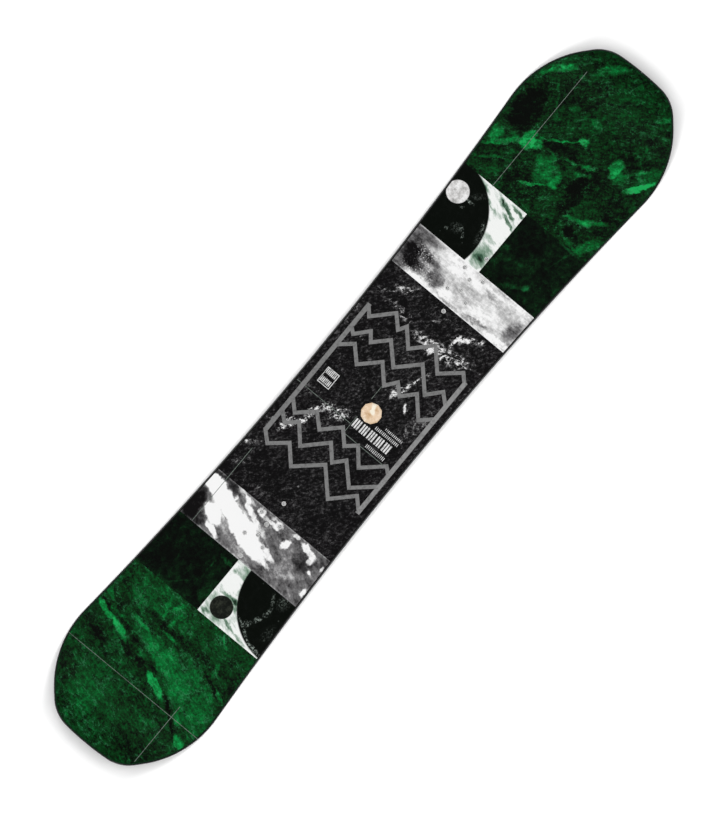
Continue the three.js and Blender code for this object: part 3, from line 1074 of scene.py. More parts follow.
@dataclass
class RunningBase:
    """Base, steel edges and rubber foil: what meets the snow."""

    form: BoardForm
    edge_width: float = 2.2
    fit: float = 0.3
    flange_inset: float = 8.8
    foil_rim: tuple[float, float] = (0.5, 9.0)
    chamfer: float = 0.25

    def edge_section(self) -> list[RimPoint]:
        """Gives the closed L section of an edge, its outer corners just broken."""
        cut = self.chamfer
        return [
            (cut, Level(0.0)),
            (self.edge_width, Level(0.0)),
            (self.edge_width, Level(FLANGE_FLOOR)),
            (self.flange_inset, Level(FLANGE_FLOOR)),
            (self.flange_inset, Level(EDGE_TOP)),
            (cut, Level(EDGE_TOP)),
            (0.0, Level(EDGE_TOP - cut)),
            (0.0, Level(cut)),
        ]

    def build(self) -> None:
        """Builds and dresses the pieces."""
        rows = self.form.side()
        rim = [(self.edge_width + self.fit, Level(0.0)), (self.edge_width + self.fit, Level(BASE_TOP))]
        sole = self.form.plate("running_base", rows, rim)
        finish_piece(sole, [SINTERED_BASE.build()], "base", ["base"])
        steel = GROUND_STEEL.build()
        rubber = RUBBER_FOIL.build()
        outer, inner = self.foil_rim
        floor, roof = Level(FOIL[0]), Level(FOIL[1])
        foil_section = [(outer, floor), (inner, floor), (inner, roof), (outer, roof)]
        for side in Side:
            word = side.name.lower()
            edge = self.form.rail(f"edge_{word}", rows, self.edge_section(), side)
            finish_piece(edge, [steel], "edge_steel", [f"steel_edge_{word}"])
            foil = self.form.rail(f"foil_{word}", rows, foil_section, side)
            finish_piece(foil, [rubber], "rubber_foil", [f"rubber_foil_{word}"])


@dataclass
class Shell:
    """Sidewalls, end spacers and the bottom fibreglass layer under the core."""

    form: BoardForm
    core_end: float = 690.0
    fit: float = 0.3
    wall_bottom: float = 0.4
    wall_top: float = 2.4
    wall_inner: float = 9.9
    core_inset: float = 10.2
    glass_inset: float = 0.4
    glass_step: tuple[float, float] = (9.3, 9.9)
    wall_round: float = 0.35

    def wall_section(self) -> list[RimPoint]:
        """Gives the sidewall's closed section, which leans in and rounds off at the top."""
        roof = Level(CORE_FLOOR, 1.0)
        shoulder = Level(CORE_FLOOR - self.wall_round, 1.0)
        return [
            (self.wall_bottom, Level(WALL_FLOOR)),
            (self.wall_inner, Level(WALL_FLOOR)),
            (self.wall_inner, roof),
            (self.wall_top + self.wall_round, roof),
            (self.wall_top, shoulder),
        ]

    def spacer_rim(self) -> list[RimPoint]:
        """Gives the spacer's rim: a thin lip over the edge, and the full thickness inside it."""
        return [
            (self.core_inset, Level(CORE_FLOOR)),
            (self.core_inset, Level(WALL_FLOOR)),
            (self.wall_bottom, Level(WALL_FLOOR)),
            (self.wall_top, Level(CORE_FLOOR, 1.0)),
        ]

    def glass_rim(self) -> list[RimPoint]:
        """Gives the bottom glass's rim, which steps up over the foil and the edge flange."""
        outer, inner = self.glass_step
        return [
            (outer, Level(GLASS_FLOOR[0])),
            (outer, Level(GLASS_RIM[0])),
            (self.glass_inset, Level(GLASS_RIM[0])),
            (self.glass_inset, Level(GLASS_RIM[1])),
            (inner, Level(GLASS_RIM[1])),
            (inner, Level(GLASS_FLOOR[1])),
        ]

    def build(self) -> None:
        """Builds and dresses the pieces."""
        rows = self.form.side()
        abs_plastic = MILLED_ABS.build()
        ends = (-self.core_end, self.core_end)
        for side in Side:
            word = side.name.lower()
            wall = self.form.rail(f"wall_{word}", rows, self.wall_section(), side, ends)
            finish_piece(wall, [abs_plastic], "sidewall", [f"sidewall_{word}"])
        start, beyond = self.core_end + self.fit, 2 * self.core_end
        for word, span in (("tip", (start, beyond)), ("tail", (-beyond, -start))):
            spacer = self.form.plate(f"spacer_{word}", rows, self.spacer_rim(), span=span)
            finish_piece(spacer, [abs_plastic], "sidewall", [f"{word}_spacer"])
        glass = CuredGlass("cured_glass_cloth").build()
        bottom = self.form.plate("glass_bottom", rows, self.glass_rim())
        finish_piece(bottom, [glass], "fibreglass", ["bottom_fibreglass"])


@dataclass
class InsertPattern:
    """The threaded inserts: a triangle pattern at each foot, its rows one core strip apart."""

    form: BoardForm
    foot: float = 294.1
    row_pitch: float = 21.65
    middle_row: tuple[float, ...] = (-62.5, -12.5, 12.5, 62.5)
    outer_row: tuple[float, ...] = (-25.0, 25.0)
    barrel_radius: float = 4.0
    bore_radius: float = 2.5
    mouth_chamfer: float = 0.8
    flange_radius: float = 8.5
    flange_height: float = 1.2
    seat_gap: float = 0.25
    recess: float = 0.1
    thread_pitch: float = 1.0
    threaded_share: float = 0.8  # of the bore's depth
    ridge_radius: float = 0.22
    bore_floor: float = 1.8
    sunk_share: float = 0.9  # of the cone that cuts the mouth's chamfer
    hole_radius: float = 4.3
    sides: int = 40
    ridge_sides: int = 3
    turn_steps: int = 16
    smooth_degrees: float = 35.0

    def places(self) -> list[tuple[float, float]]:
        """Lists the centres of all inserts."""
        rows = [(self.row_pitch, self.outer_row), (0.0, self.middle_row), (-self.row_pitch, self.outer_row)]
        return [(end * self.foot + along, y) for end in (1, -1) for y, row in rows for along in row]

    def length(self) -> float:
        """Gives the inserts' length: from the core's floor to just under the topsheet's face."""
        roof = self.form.height(self.foot, TOPSHEET[1])
        return float(roof - self.form.height(self.foot, Level(CORE_FLOOR)) - self.seat_gap - self.recess)

    def tool(self, sizes: Mapping[str, float], steel: Material) -> Tree:
        """Builds the tree that puts a turned insert on each input point.

        Args:
            sizes: The tree's inputs.
            steel: The inserts' material.

        Returns:
            The tree.
        """
        tree, given, result = new_node_tool("insert_pattern", sizes)

        def cylinder(radius: str, depth: str) -> Node:
            """Adds a round bar, centred on the origin."""
            links = {"Vertices": self.sides, "Radius": (given, radius), "Depth": (given, depth)}
            return add(tree, "GeometryNodeMeshCylinder", links)

        def lifted(solid: Node, height: Link) -> Node:
            """Lifts a solid."""
            place = add(tree, "ShaderNodeCombineXYZ", {"Z": height})
            return add(tree, "GeometryNodeTransform", {"Geometry": solid, "Translation": place})

        def without(solid: Node, cutter: Node) -> Node:
            """Cuts one solid out of another."""
            links = {"Mesh 1": solid, "Mesh 2": cutter}
            return add(tree, "GeometryNodeMeshBoolean", links, operation="DIFFERENCE")

        half_length = maths(tree, "MULTIPLY", (given, "Length"), 0.5)
        half_flange = maths(tree, "MULTIPLY", (given, "Flange height"), 0.5)
        flange = lifted(cylinder("Flange radius", "Flange height"), half_flange)
        barrel = lifted(cylinder("Barrel radius", "Length"), half_length)
        blank = add(tree, "GeometryNodeMeshBoolean", {"Mesh 2": flange}, operation="UNION")
        tree.links.new(barrel.outputs[0], blank.inputs["Mesh 2"])
        above_floor = maths(tree, "ADD", half_length, (given, "Bore floor"))
        bored = without(blank, lifted(cylinder("Bore radius", "Length"), above_floor))

        mouth_links = {
            "Vertices": self.sides,
            "Radius Top": maths(tree, "ADD", (given, "Bore radius"), (given, "Mouth chamfer")),
            "Radius Bottom": (given, "Bore radius"),
            "Depth": (given, "Mouth chamfer"),
        }
        cone = add(tree, "GeometryNodeMeshCone", mouth_links)
        # The cone's top is a little above the barrel's, so that the cut has no shared face.
        sunk = maths(tree, "MULTIPLY", (given, "Mouth chamfer"), self.sunk_share)
        body = without(bored, lifted(cone, maths(tree, "SUBTRACT", (given, "Length"), sunk)))

        ridge_links = {"Resolution": self.ridge_sides, "Radius": self.ridge_radius * MM}
        ridge_section = add(tree, "GeometryNodeCurvePrimitiveCircle", ridge_links)
        depth = maths(tree, "SUBTRACT", (given, "Length"), (given, "Bore floor"))
        turns = maths(tree, "DIVIDE", depth, (given, "Thread pitch"))
        spiral_links = {
            "Resolution": self.turn_steps,
            "Rotations": maths(tree, "MULTIPLY", turns, self.threaded_share),
            "Start Radius": (given, "Bore radius"),
            "End Radius": (given, "Bore radius"),
            "Height": maths(tree, "MULTIPLY", depth, self.threaded_share),
        }
        spiral = add(tree, "GeometryNodeCurveSpiral", spiral_links)
        thread_links = {"Curve": spiral, "Profile Curve": ridge_section, "Fill Caps": True}
        thread = lifted(add(tree, "GeometryNodeCurveToMesh", thread_links), (given, "Bore floor"))
        insert = add(tree, "GeometryNodeJoinGeometry", {"Geometry": body})
        tree.links.new(thread.outputs[0], insert.inputs[0])
        copy_links = {"Points": (given, "Geometry"), "Instance": insert}
        finish_node_tool(tree, add(tree, "GeometryNodeInstanceOnPoints", copy_links), steel, result)
        return tree

    def build(self) -> None:
        """Builds and dresses the inserts."""
        spots = self.places()
        x = np.array([spot[0] for spot in spots])
        floor = self.form.height(x, Level(CORE_FLOOR)) + self.seat_gap
        points = np.column_stack([np.array(spots), floor])
        made = make_object("threaded_inserts", points, [])
        sizes = {
            "Barrel radius": self.barrel_radius * MM,
            "Bore radius": self.bore_radius * MM,
            "Bore floor": self.bore_floor * MM,
            "Flange radius": self.flange_radius * MM,
            "Flange height": self.flange_height * MM,
            "Length": self.length() * MM,
            "Mouth chamfer": self.mouth_chamfer * MM,
            "Thread pitch": self.thread_pitch * MM,
        }
        steel = TURNED_STEEL.build()
        run_node_tool(made, self.tool(sizes, steel), sizes, self.smooth_degrees)
        nodes = [f"insert_{foot}_{i}" for foot in ("front", "rear") for i in range(1, 9)]
        finish_piece(made, [], "insert_steel", nodes)


class Area(Enum):
    """The printed areas of the topsheet, from the tail to the tip, by where each one ends in x."""

    TAIL_MARBLE = -485.0
    TAIL_PANEL = -364.6
    REAR_BAND = -258.8
    STONE = 242.5
    FRONT_BAND = 328.6
    TIP_PANEL = 467.9
    TIP_MARBLE = 900.0


def patches(*rows: tuple[float, ...]) -> Patches:
    """Makes patches from rows of x, y, along, across, turn, strength and fade."""
    return tuple(Patch(*row) for row in rows)


TIP_PATCHES = patches(
    # torn bright shield and the light above it
    (576, 82, 19, 13, 10, 0.56, 0.2), (580, 66, 13, 11, -60, 0.5, 0.25), (551, 138, 19, 11, -12, 0.42, 0.3),
    (544, 118, 30, 6, -48, 0.34, 0.4), (561, 103, 20, 9, -60, 0.2),
    # diffuse light under it, brightest at its foot, with a bright left rim
    (553, 24, 27, 18, 0, 0.28, 0.3), (550, 4, 20, 16, 0, 0.24, 0.3), (549, -6, 16, 7, 0, 0.32, 0.35),
    (580, 24, 22, 3, 72, 0.16), (517, 28, 27, 2.6, -58, 0.5, 0.4), (560, 42, 20, 5, 30, 0.16),
    # veins that run down to the right
    (606, 44, 24, 2.2, -58, 0.42), (626, 15, 20, 2.2, -52, 0.42), (637, -1, 11, 5, -60, 0.46, 0.4),
    (596, -8, 13, 3.0, -75, 0.36), (588, -37, 17, 3.0, -60, 0.4), (606, -38, 14, 4.6, -76, 0.4),
    (505, 118, 40, 2.4, -56, 0.26, 0.6), (528, 132, 26, 2.4, -56, 0.26, 0.6),
    (495, 100, 20, 10, -50, 0.1, 0.6),
    # lower patch and the streak below it
    (637, -78, 18, 12, 0, 0.56, 0.25), (628, -96, 17, 13, 60, 0.3), (637, -133, 31, 5.4, -32, 0.82, 0.35),
    (664, -134, 30, 15, -28, 0.26), (655, -112, 24, 2.6, -40, 0.26, 0.6),
    (689, -102, 22, 2.4, 20, 0.2, 0.6),
    # arches at the panel's side
    (476, -96, 22, 4, 68, 0.26), (519, -84, 26, 4, -72, 0.34), (534, -110, 26, 5, -62, 0.4, 0.45),
    (492, -128, 26, 9, -28, 0.34, 0.4), (492, -62, 14, 3, 10, 0.16, 0.6),
    # the nose
    (713, 122, 30, 5, -38, 0.3), (728, 108, 20, 4, -60, 0.26), (700, 136, 20, 4, -30, 0.2),
    (780, 36, 24, 6, -54, 0.34), (764, 52, 20, 8, -30, 0.16, 0.6), (764, -90, 18, 5, -48, 0.3),
    (676, 54, 11, 7, -50, 0.26), (680, 4, 6, 14, -8, 0.26), (668, 88, 34, 2.4, 34, 0.2, 0.6),
    (752, 0, 60, 54, 60, 0.1, 0.8),
    # black stone between
    (625, 121, 44, 26, 4, -0.24, 0.3), (552, -46, 42, 16, 4, -0.2), (601, 16, 10, 40, 8, -0.12, 0.6),
    (494, -84, 9, 7, 20, -0.24, 0.4), (670, -88, 12, 8, 0, -0.12), (508, 62, 34, 12, 20, -0.1, 0.6),
    (580, -120, 34, 20, 0, -0.08, 0.6),
)

TAIL_PATCHES = patches(
    # two broken streaks at the left rim of the light band
    (-592, 124, 28, 6, 76, 0.5, 0.25), (-606, 84, 24, 6.4, 68, 0.46, 0.25),
    (-561, 142, 13, 6, 62, 0.34, 0.4), (-644, -30, 28, 9, 66, 0.62, 0.2),
    (-697, -134, 18, 7.5, 66, 0.5, 0.25), (-667, -103, 13, 6, 62, 0.3, 0.4), (-580, 112, 30, 3, 78, 0.2),
    # the light band, which widens towards the lower side
    (-568, 66, 24, 5, 80, 0.34, 0.35), (-584, 40, 34, 12, 76, 0.2, 0.3), (-590, -4, 42, 26, 66, 0.17, 0.2),
    (-602, -50, 50, 38, 62, 0.15, 0.15), (-618, -96, 54, 40, 50, 0.13, 0.2),
    (-640, -136, 50, 24, 20, 0.13, 0.25), (-556, 5, 14, 3.4, 84, 0.4, 0.4),
    (-583, -133, 16, 3.2, 62, 0.36, 0.4), (-600, 14, 18, 10, 60, 0.12, 0.6), (-612, 30, 13, 8, 66, 0.22),
    # marbling at the panel's side
    (-520, 42, 22, 3, 18, 0.26, 0.6), (-508, 28, 16, 3, -30, 0.26, 0.6), (-530, 18, 20, 3, -8, 0.2, 0.6),
    (-548, -101, 14, 4, 20, 0.3), (-502, -81, 12, 2.2, 56, 0.36), (-520, 100, 30, 22, 30, 0.12, 0.7),
    (-512, -20, 40, 120, 0, 0.07, 0.7),
    # the tail
    (-732, 58, 34, 28, -20, 0.16, 0.7), (-706, 0, 50, 60, 10, 0.06, 0.7), (-790, 70, 12, 12, 0, 0.12, 0.6),
    (-704, -62, 4, 14, 0, 0.16, 0.6),
    # dark cracks and hollows
    (-628, 122, 34, 12, 72, -0.16), (-622, 52, 18, 8, 64, -0.17), (-598, 62, 26, 4, 74, -0.17),
    (-628, 16, 24, 6, 62, -0.18), (-612, 0, 24, 4, 60, -0.2), (-662, -76, 28, 3.4, 48, -0.24),
    (-684, -106, 16, 3, 50, -0.24), (-546, 34, 28, 7, 84, -0.22), (-545, -40, 50, 8, 88, -0.12, 0.6),
    (-577, -114, 34, 3, 66, -0.22), (-557, 96, 30, 4, 76, -0.14), (-580, 134, 14, 4, 70, -0.16),
    (-745, -80, 50, 30, -40, -0.1, 0.7),
)

TAIL_PANEL_SHADES = patches(
    (-430, -36, 4, 22, 0, -0.45), (-462, -12, 26, 8, 10, -0.28, 0.6), (-410, -44, 10, 6, 0, -0.3, 0.6),
    (-396, -10, 20, 4, 0, -0.2, 0.6), (-476, -44, 8, 18, 0, -0.28, 0.6), (-436, -52, 14, 4, 40, -0.35),
    (-379, -26, 12, 14, 0, -0.36), (-470, -62, 18, 3, 74, -0.42), (-478, -96, 22, 3, 82, -0.3),
    (-476, -14, 4, 10, 0, -0.26), (-404, -18, 15, 13, 0, 0.4), (-477, -120, 3, 20, 0, 0.3),
)
TAIL_PANEL_GLINTS = patches(
    (-382, 10, 13, 4, 80, 0.34, 0.7), (-452, 6, 20, 10, 0, 0.2, 0.8), (-466, 60, 34, 1.4, -48, 0.14, 0.8),
    (-424, 31, 26, 1.4, -4, 0.16, 0.8), (-401, 31, 4, 2, 0, 0.26, 0.6), (-483, 90, 5, 60, 0, 0.14, 0.8),
)
TAIL_PANEL_DUST = patches(
    (-448, -88, 9, 5, -30, 1.0), (-428, -100, 9, 4, -28, 0.9), (-408, -106, 12, 4, -6, 0.6),
    (-384, -100, 14, 3, 30, 0.5), (-462, -96, 26, 2.5, 58, 0.8), (-476, -130, 18, 4, 78, 1.0),
    (-373, -118, 14, 10, 0, 0.3), (-436, -132, 16, 8, 0, 0.16),
)
TIP_PANEL_SHADES = patches(
    (360, 14, 16, 20, 0, -0.38, 0.4), (341, 12, 13, 16, 0, -0.32), (389, 20, 5, 14, -10, -0.36),
    (452, 86, 24, 8, 66, -0.42, 0.4), (438, 54, 16, 4, 62, -0.42), (434, 14, 20, 4, 64, -0.55, 0.4),
    (450, 26, 22, 4, 66, -0.6, 0.4), (460, 10, 20, 3, 80, -0.45), (456, 46, 12, 3, 50, -0.4),
    (410, 16, 18, 16, 0, 0.4), (445, 62, 18, 4, 64, 0.4),
)
TIP_PANEL_GLINTS = patches(
    (342, -58, 14, 5, -52, 0.2, 0.8), (352, -78, 15, 4, -60, 0.2, 0.8), (361, -90, 6, 6, -40, 0.34, 0.7),
    (386, -44, 16, 4, -76, 0.14, 0.8), (398, -16, 8, 5, -70, 0.2, 0.8), (362, -14, 16, 6, 0, 0.14, 0.8),
    (391, -60, 5, 6, 0, 0.14, 0.8), (388, -136, 12, 5, 20, 0.14, 0.8), (440, -106, 24, 1.6, -20, 0.2, 0.7),
    (466, -110, 3, 24, 0, 0.3, 0.7), (430, -40, 34, 34, 0, -0.06, 0.7),
)
TIP_PANEL_DUST = patches(
    (418, 92, 2.4, 9, 0, 1.0), (400, 98, 3, 3, 0, 1.0), (353, 95, 3.6, 3, 0, 0.9), (371, 72, 4, 3, 30, 0.7),
    (362, 62, 6, 2.4, 30, 0.7), (366, 80, 9, 10, 0, 0.2), (399, 45, 9, 2.6, 28, 0.7),
    (384, 38, 20, 6, 8, 0.22), (436, 84, 6, 16, 40, 0.12),
)

REAR_BAND_PATCHES = patches(
    # the broad white streak from the upper rim down to the left
    (-316, 40, 72, 34, 66, 0.2, 0.6), (-284, 122, 24, 15, 78, 0.9, 0.25), (-297, 92, 34, 17, 58, 0.9, 0.25),
    (-329, 90, 24, 12, 64, 0.85, 0.25), (-306, 60, 36, 15, 66, 0.85, 0.25),
    (-322, 26, 34, 15, 76, 0.8, 0.25), (-308, 18, 30, 10, 70, 0.6, 0.3), (-334, -8, 34, 12, 80, 0.65, 0.25),
    (-323, -30, 22, 7, 78, 0.55, 0.25), (-353, 73, 17, 5.5, 70, 0.65, 0.25),
    (-342, -46, 10, 4, 80, 0.4, 0.3),
    # white streaks to its right
    (-276, 47, 18, 5, 50, 0.55, 0.3), (-288, 24, 22, 4.5, 56, 0.5, 0.35), (-279, 75, 5, 3, 0, 0.45, 0.4),
    (-297, 0, 18, 4, 62, 0.3), (-264, 60, 26, 3, 80, 0.3),
    # ring round an insert, with a tail
    (-269.1, 21.6, 8, 8, 0, 0.5, 0.25), (-274, 0, 24, 4, 84, 0.5, 0.4), (-269, -20, 8, 8, 0, 0.5, 0.3),
    (-264, -8, 12, 3, 90, 0.3),
    # bright stones on the grey ground
    (-289, -50, 10, 7.5, -10, 0.6, 0.25), (-264, -58, 8, 4, 90, 0.5, 0.3),
    (-271, -92, 20, 6.5, 76, 0.6, 0.25), (-283, -106, 8, 6.5, 0, 0.6, 0.25),
    (-300.5, -118.5, 4, 3, 0, 0.6, 0.4), (-337, -133, 9, 5, 0, 0.6, 0.3), (-281, -133, 6, 2.6, 0, 0.5, 0.4),
    (-320, -84, 26, 10, 62, 0.14, 0.6), (-328, -96, 30, 5, -50, 0.14, 0.6),
    (-292, -84, 16, 14, 0, -0.12, 0.6), (-330, -70, 12, 8, 0, 0.14, 0.6),
    # dark hollows
    (-338, 128, 32, 14, 0, -0.5, 0.3), (-354, 108, 12, 16, 0, -0.3), (-263, 118, 6, 30, 0, -0.3),
    (-317, 72, 15, 2.4, 70, -0.7, 0.4), (-271, 84, 16, 6, 70, -0.2, 0.6),
    (-278, 62, 16, 3.4, 55, -0.16, 0.6), (-272, 8, 13, 3, 86, -0.14), (-350, 40, 12, 24, 0, -0.06, 0.6),
    (-303, -100, 24, 12, -30, -0.12, 0.6), (-270, -128, 16, 12, 0, -0.16, 0.6),
    (-272, -66, 12, 8, 60, -0.1, 0.6),
)

FRONT_BAND_PATCHES = patches(
    # bright rims
    (247, 77, 16, 3.4, 90, 0.55, 0.25), (250, -108, 30, 5, 94, 0.3, 0.4), (312, 36, 66, 13, 90, 0.16),
    (272, -66, 34, 14, 100, 0.14, 0.6), (264, 22, 12, 12, 0, 0.16), (316, -122, 16, 8, 80, 0.16),
    # the dark end
    (268, 134, 32, 36, 90, -0.42, 0.35), (266, 110, 14, 22, 90, -0.16), (278, 104, 28, 22, 84, -0.4, 0.4),
    (262, 92, 20, 10, 90, -0.3), (292, 78, 22, 9, 80, -0.26, 0.6), (292, 116, 22, 12, 90, -0.16),
    (316, 124, 44, 15, 90, -0.4, 0.6),
    # shades between
    (266, 50, 20, 12, 70, -0.42), (285, 62, 22, 7, 84, -0.2, 0.6), (282, -6, 30, 14, 92, -0.1, 0.6),
    (310, -50, 17, 5, 80, -0.28), (306, 4, 12, 5, 80, -0.16, 0.6), (253, -56, 24, 4.6, 100, -0.3),
    (247, 12, 24, 2.6, 90, -0.2), (280, -124, 22, 15, 0, -0.36), (300, -88, 22, 8, 70, -0.14, 0.6),
    (324, -128, 10, 16, 0, -0.12, 0.6), (325, -40, 50, 4, 90, -0.1, 0.6),
)

FRONT_BAND_DUST = patches(
    (270, 100, 30, 30, 0, 0.9), (262, 62, 18, 16, 0, 0.5), (292, 96, 22, 10, 84, 0.7),
)

STONE_VEINS = patches(
    (-112, 88, 24, 9, -30, 1.0), (-76, 70, 22, 8, -12, 1.0), (-46, 56, 20, 8, -38, 1.0),
    (-110, 108, 24, 6, -42, 0.6), (-36, 24, 22, 12, -60, 0.9), (-62, 36, 22, 14, -60, 0.3, 0.6),
    (64, -30, 18, 10, -10, 0.9), (88, -40, 22, 5, -16, 0.6), (46, -60, 12, 6, 20, 0.5),
    (24, -92, 30, 12, -10, 0.45, 0.6), (60, -108, 40, 8, 0, 0.35, 0.6), (116, -52, 22, 4, -30, 0.5, 0.6),
    (172, -60, 14, 50, 10, 0.8, 0.6), (150, -10, 60, 120, 0, 0.16, 0.7), (228, -20, 16, 60, 0, 0.25, 0.6),
    (166, -14, 12, 34, 0, 0.75, 0.6), (208, -58, 20, 6, -50, 0.72), (222, -76, 22, 4, -58, 0.75),
    (200, -52, 14, 4, -12, 0.8), (228, -96, 12, 8, -30, 0.6), (205, 96, 44, 7, -52, 0.5, 0.6),
    (222, 70, 24, 9, -52, 0.36, 0.6), (180, 60, 34, 8, 84, 0.6, 0.6), (96, 84, 14, 5, 60, 0.4, 0.6),
    (-226, 118, 26, 8, -50, 0.45, 0.6), (-180, 118, 20, 5, -50, 0.5, 0.6), (-245, 60, 14, 30, 0, 0.3, 0.6),
    (120, 128, 44, 4, 0, 0.4, 0.6), (-130, 12, 14, 18, 0, 0.25, 0.6),
)

STONE_SHARDS = patches(
    (47, -59.5, 9, 2.4, 30, 0.75), (56, -26, 6, 4, -60, 0.5), (206, 1.5, 7, 1.8, -52, 0.5),
    (-186.5, 128, 2.4, 2.4, 0, 0.7), (-190, 0, 2.4, 2.4, 0, 0.3), (205, -62, 6, 3, -20, 0.5),
    (216, -70, 9, 2.4, -60, 0.34), (224, -88, 7, 2, -60, 0.3),
)


@dataclass
class Topsheet:
    """The printed topsheet and the top fibreglass under it, pierced over the inserts."""

    form: BoardForm
    inserts: InsertPattern
    inset: float = 2.6
    rim_round: float = 0.15
    border: float = 1.8
    columns: int = 13
    cutter_reach: tuple[float, float] = (2.0, 24.0)  # heights that the hole cutters span

    def prints(self) -> dict[Area, Material]:
        """Makes the material of each printed area."""
        tail_panel = PanelPrint(
            name="film_printed_tail_panel",
            split_y=-2.0,
            white_above=False,
            sky=Patch(-365, -150, 118, 118, fade=0.012),
            moon=Patch(-453, -33.5, 22, 22, fade=0.03),
            moon_tones=((0.3, "0d100c"), (0.5, "181b17"), (0.68, "34382f")),
            shades=TAIL_PANEL_SHADES,
            glints=TAIL_PANEL_GLINTS,
            dust=TAIL_PANEL_DUST,
            dark_level=0.09,
        )
        tip_panel = PanelPrint(
            name="film_printed_tip_panel",
            split_y=-4.0,
            white_above=True,
            sky=Patch(355, 147, 119, 119, fade=0.012),
            moon=Patch(418.7, 121, 21.8, 21.8, fade=0.03),
            moon_tones=((0.3, "a0a09e"), (0.48, "d6d5d4"), (0.62, "fafafa")),
            shades=TIP_PANEL_SHADES,
            glints=TIP_PANEL_GLINTS,
            dust=TIP_PANEL_DUST,
            dark_level=0.14,
        )
        rear_band = MoonBandPrint(
            name="film_printed_rear_moon_band",
            patches=REAR_BAND_PATCHES,
            turn=62.0,
            stretch=1.9,
            level=0.4,
            contrast=1.05,
            tear_mm=4.0,
            edges=(Area.TAIL_PANEL.value, Area.REAR_BAND.value),
            edge_light=0.12,
        )
        front_band = MoonBandPrint(
            name="film_printed_front_moon_band",
            patches=FRONT_BAND_PATCHES,
            turn=88.0,
            stretch=3.2,
            level=0.82,
            contrast=1.1,
            tear_mm=6.0,
            edges=(Area.STONE.value, Area.FRONT_BAND.value),
            edge_light=0.1,
            dust=FRONT_BAND_DUST,
        )
        return {
            Area.TAIL_MARBLE: MarblePrint("film_printed_tail_marble", TAIL_PATCHES, 70.0, 0.26).build(),
            Area.TAIL_PANEL: tail_panel.build(),
            Area.REAR_BAND: rear_band.build(),
            Area.STONE: StonePrint("film_printed_stone", STONE_VEINS, STONE_SHARDS).build(),
            Area.FRONT_BAND: front_band.build(),
            Area.TIP_PANEL: tip_panel.build(),
            Area.TIP_MARBLE: MarblePrint("film_printed_tip_marble", TIP_PATCHES, -52.0, 0.2).build(),
        }

    def pierce(self, sheet: Object) -> None:
        """Cuts a round hole over every insert.

        Args:
            sheet: The sheet, whose mesh is replaced by the pierced one.
        """
        corners, faces = [], []
        profile = [(self.inserts.hole_radius, height) for height in self.cutter_reach]
        for x, y in self.inserts.places():
            bar, bar_faces = turned(x, y, profile, self.inserts.sides)
            faces.extend([len(corners) + i for i in face] for face in bar_faces)
            corners.extend(bar)
        cutter = make_object("insert_hole_cutter", np.array(corners), faces)
        for material in sheet.data.materials:
            cutter.data.materials.append(material)
        modifier = sheet.modifiers.new("holes", "BOOLEAN")
        modifier.operation = "DIFFERENCE"
        modifier.solver = "EXACT"
        modifier.object = cutter
        bake(sheet, modifier, SMOOTH_DEGREES)
        bpy.data.objects.remove(cutter)

    def build(self) -> None:
        """Builds and dresses the pieces."""
        rows = self.form.side(stops=[area.value for area in Area if area is not Area.TIP_MARBLE])
        glass_rim = [(self.inset, TOP_GLASS[0]), (self.inset, TOP_GLASS[1])]
        glass = self.form.plate("glass_top", rows, glass_rim, self.columns)
        self.pierce(glass)
        finish_piece(glass, [CuredGlass("cured_top_glass_cloth").build()], "fibreglass", ["top_fibreglass"])

        floor, roof = TOPSHEET
        lip = Level(roof.sheets - self.rim_round, roof.core)
        rim = [
            (self.inset, floor),
            (self.inset, lip),
            (self.inset + self.rim_round, roof),
            (self.inset + self.border, roof),
        ]
        sheet = self.form.plate("printed_topsheet", rows, rim, self.columns)
        materials = self.prints()
        for material in (BorderPrint("film_printed_black_border").build(), *materials.values()):
            sheet.data.materials.append(material)
        ends = np.array([area.value for area in Area]) * MM
        strips = 2 * (len(rim) + self.columns)
        for number, face in enumerate(sheet.data.polygons):
            strip = (number - 2) % strips  # the two end caps come first
            on_border = strip % (len(rim) + self.columns) < len(rim) - 1
            if number > 1 and not on_border:
                face.material_index = 1 + int(np.searchsorted(ends, face.center.x))
        self.pierce(sheet)
        finish_piece(sheet, [], "topsheet", ["topsheet"])


ZIGZAGS = (
    ((-145, 117), (-165, 95), (-138, 64), (-170, 34), (-127, -13), (-173, -57), (-134, -95), (-157, -118)),
    (
        (-99, 114), (-115, 95), (-97, 75), (-130, 45), (-89, 5),
        (-116, -20), (-96, -38), (-132, -74), (-96, -114),
    ),
    (
        (-70, 112), (-89, 92), (-61, 62), (-84, 37), (-53, 6),
        (-78, -18), (-61, -37), (-92, -64), (-57, -102), (-68, -115),
    ),
    (
        (58, 113), (80, 88), (53, 61), (87, 27), (55, -3),
        (76, -19), (58, -38), (82, -60), (46, -93), (66, -114),
    ),
    (
        (101, 113), (92, 102), (117, 80), (101, 67), (128, 41),
        (92, 5), (131, -33), (90, -72), (116, -95), (99, -114),
    ),
    (
        (153, 115), (136, 100), (173, 65), (151, 43), (166, 34),
        (136, 6), (173, -29), (135, -65), (167, -101), (153, -115),
    ),
)
FRAME_BARS = (((-146, 114), (155, 114)), ((-159, -116), (156, -116)))
HAIRLINES = (
    ((-669, 156), (-669, -156)),
    ((-775, -92), (-644, -92)),
    ((467, 78.5), (742, 78.5)),
    ((-364, 111), (-189, 111)),
    ((-38.5, 128), (-38.5, 0)),
    ((-59.6, 0), (-59.6, -99)),
    ((-60, -1), (-20, -1)),
    ((21, -1), (55, -1)),
)


def rules(left: float, right: float, start: float, end: float, pitch: float) -> list[Points]:
    """Lists short parallel rules from x = left to right, one every pitch from y = start to end."""
    return [((left, y), (right, y)) for y in np.arange(start, end, pitch)]


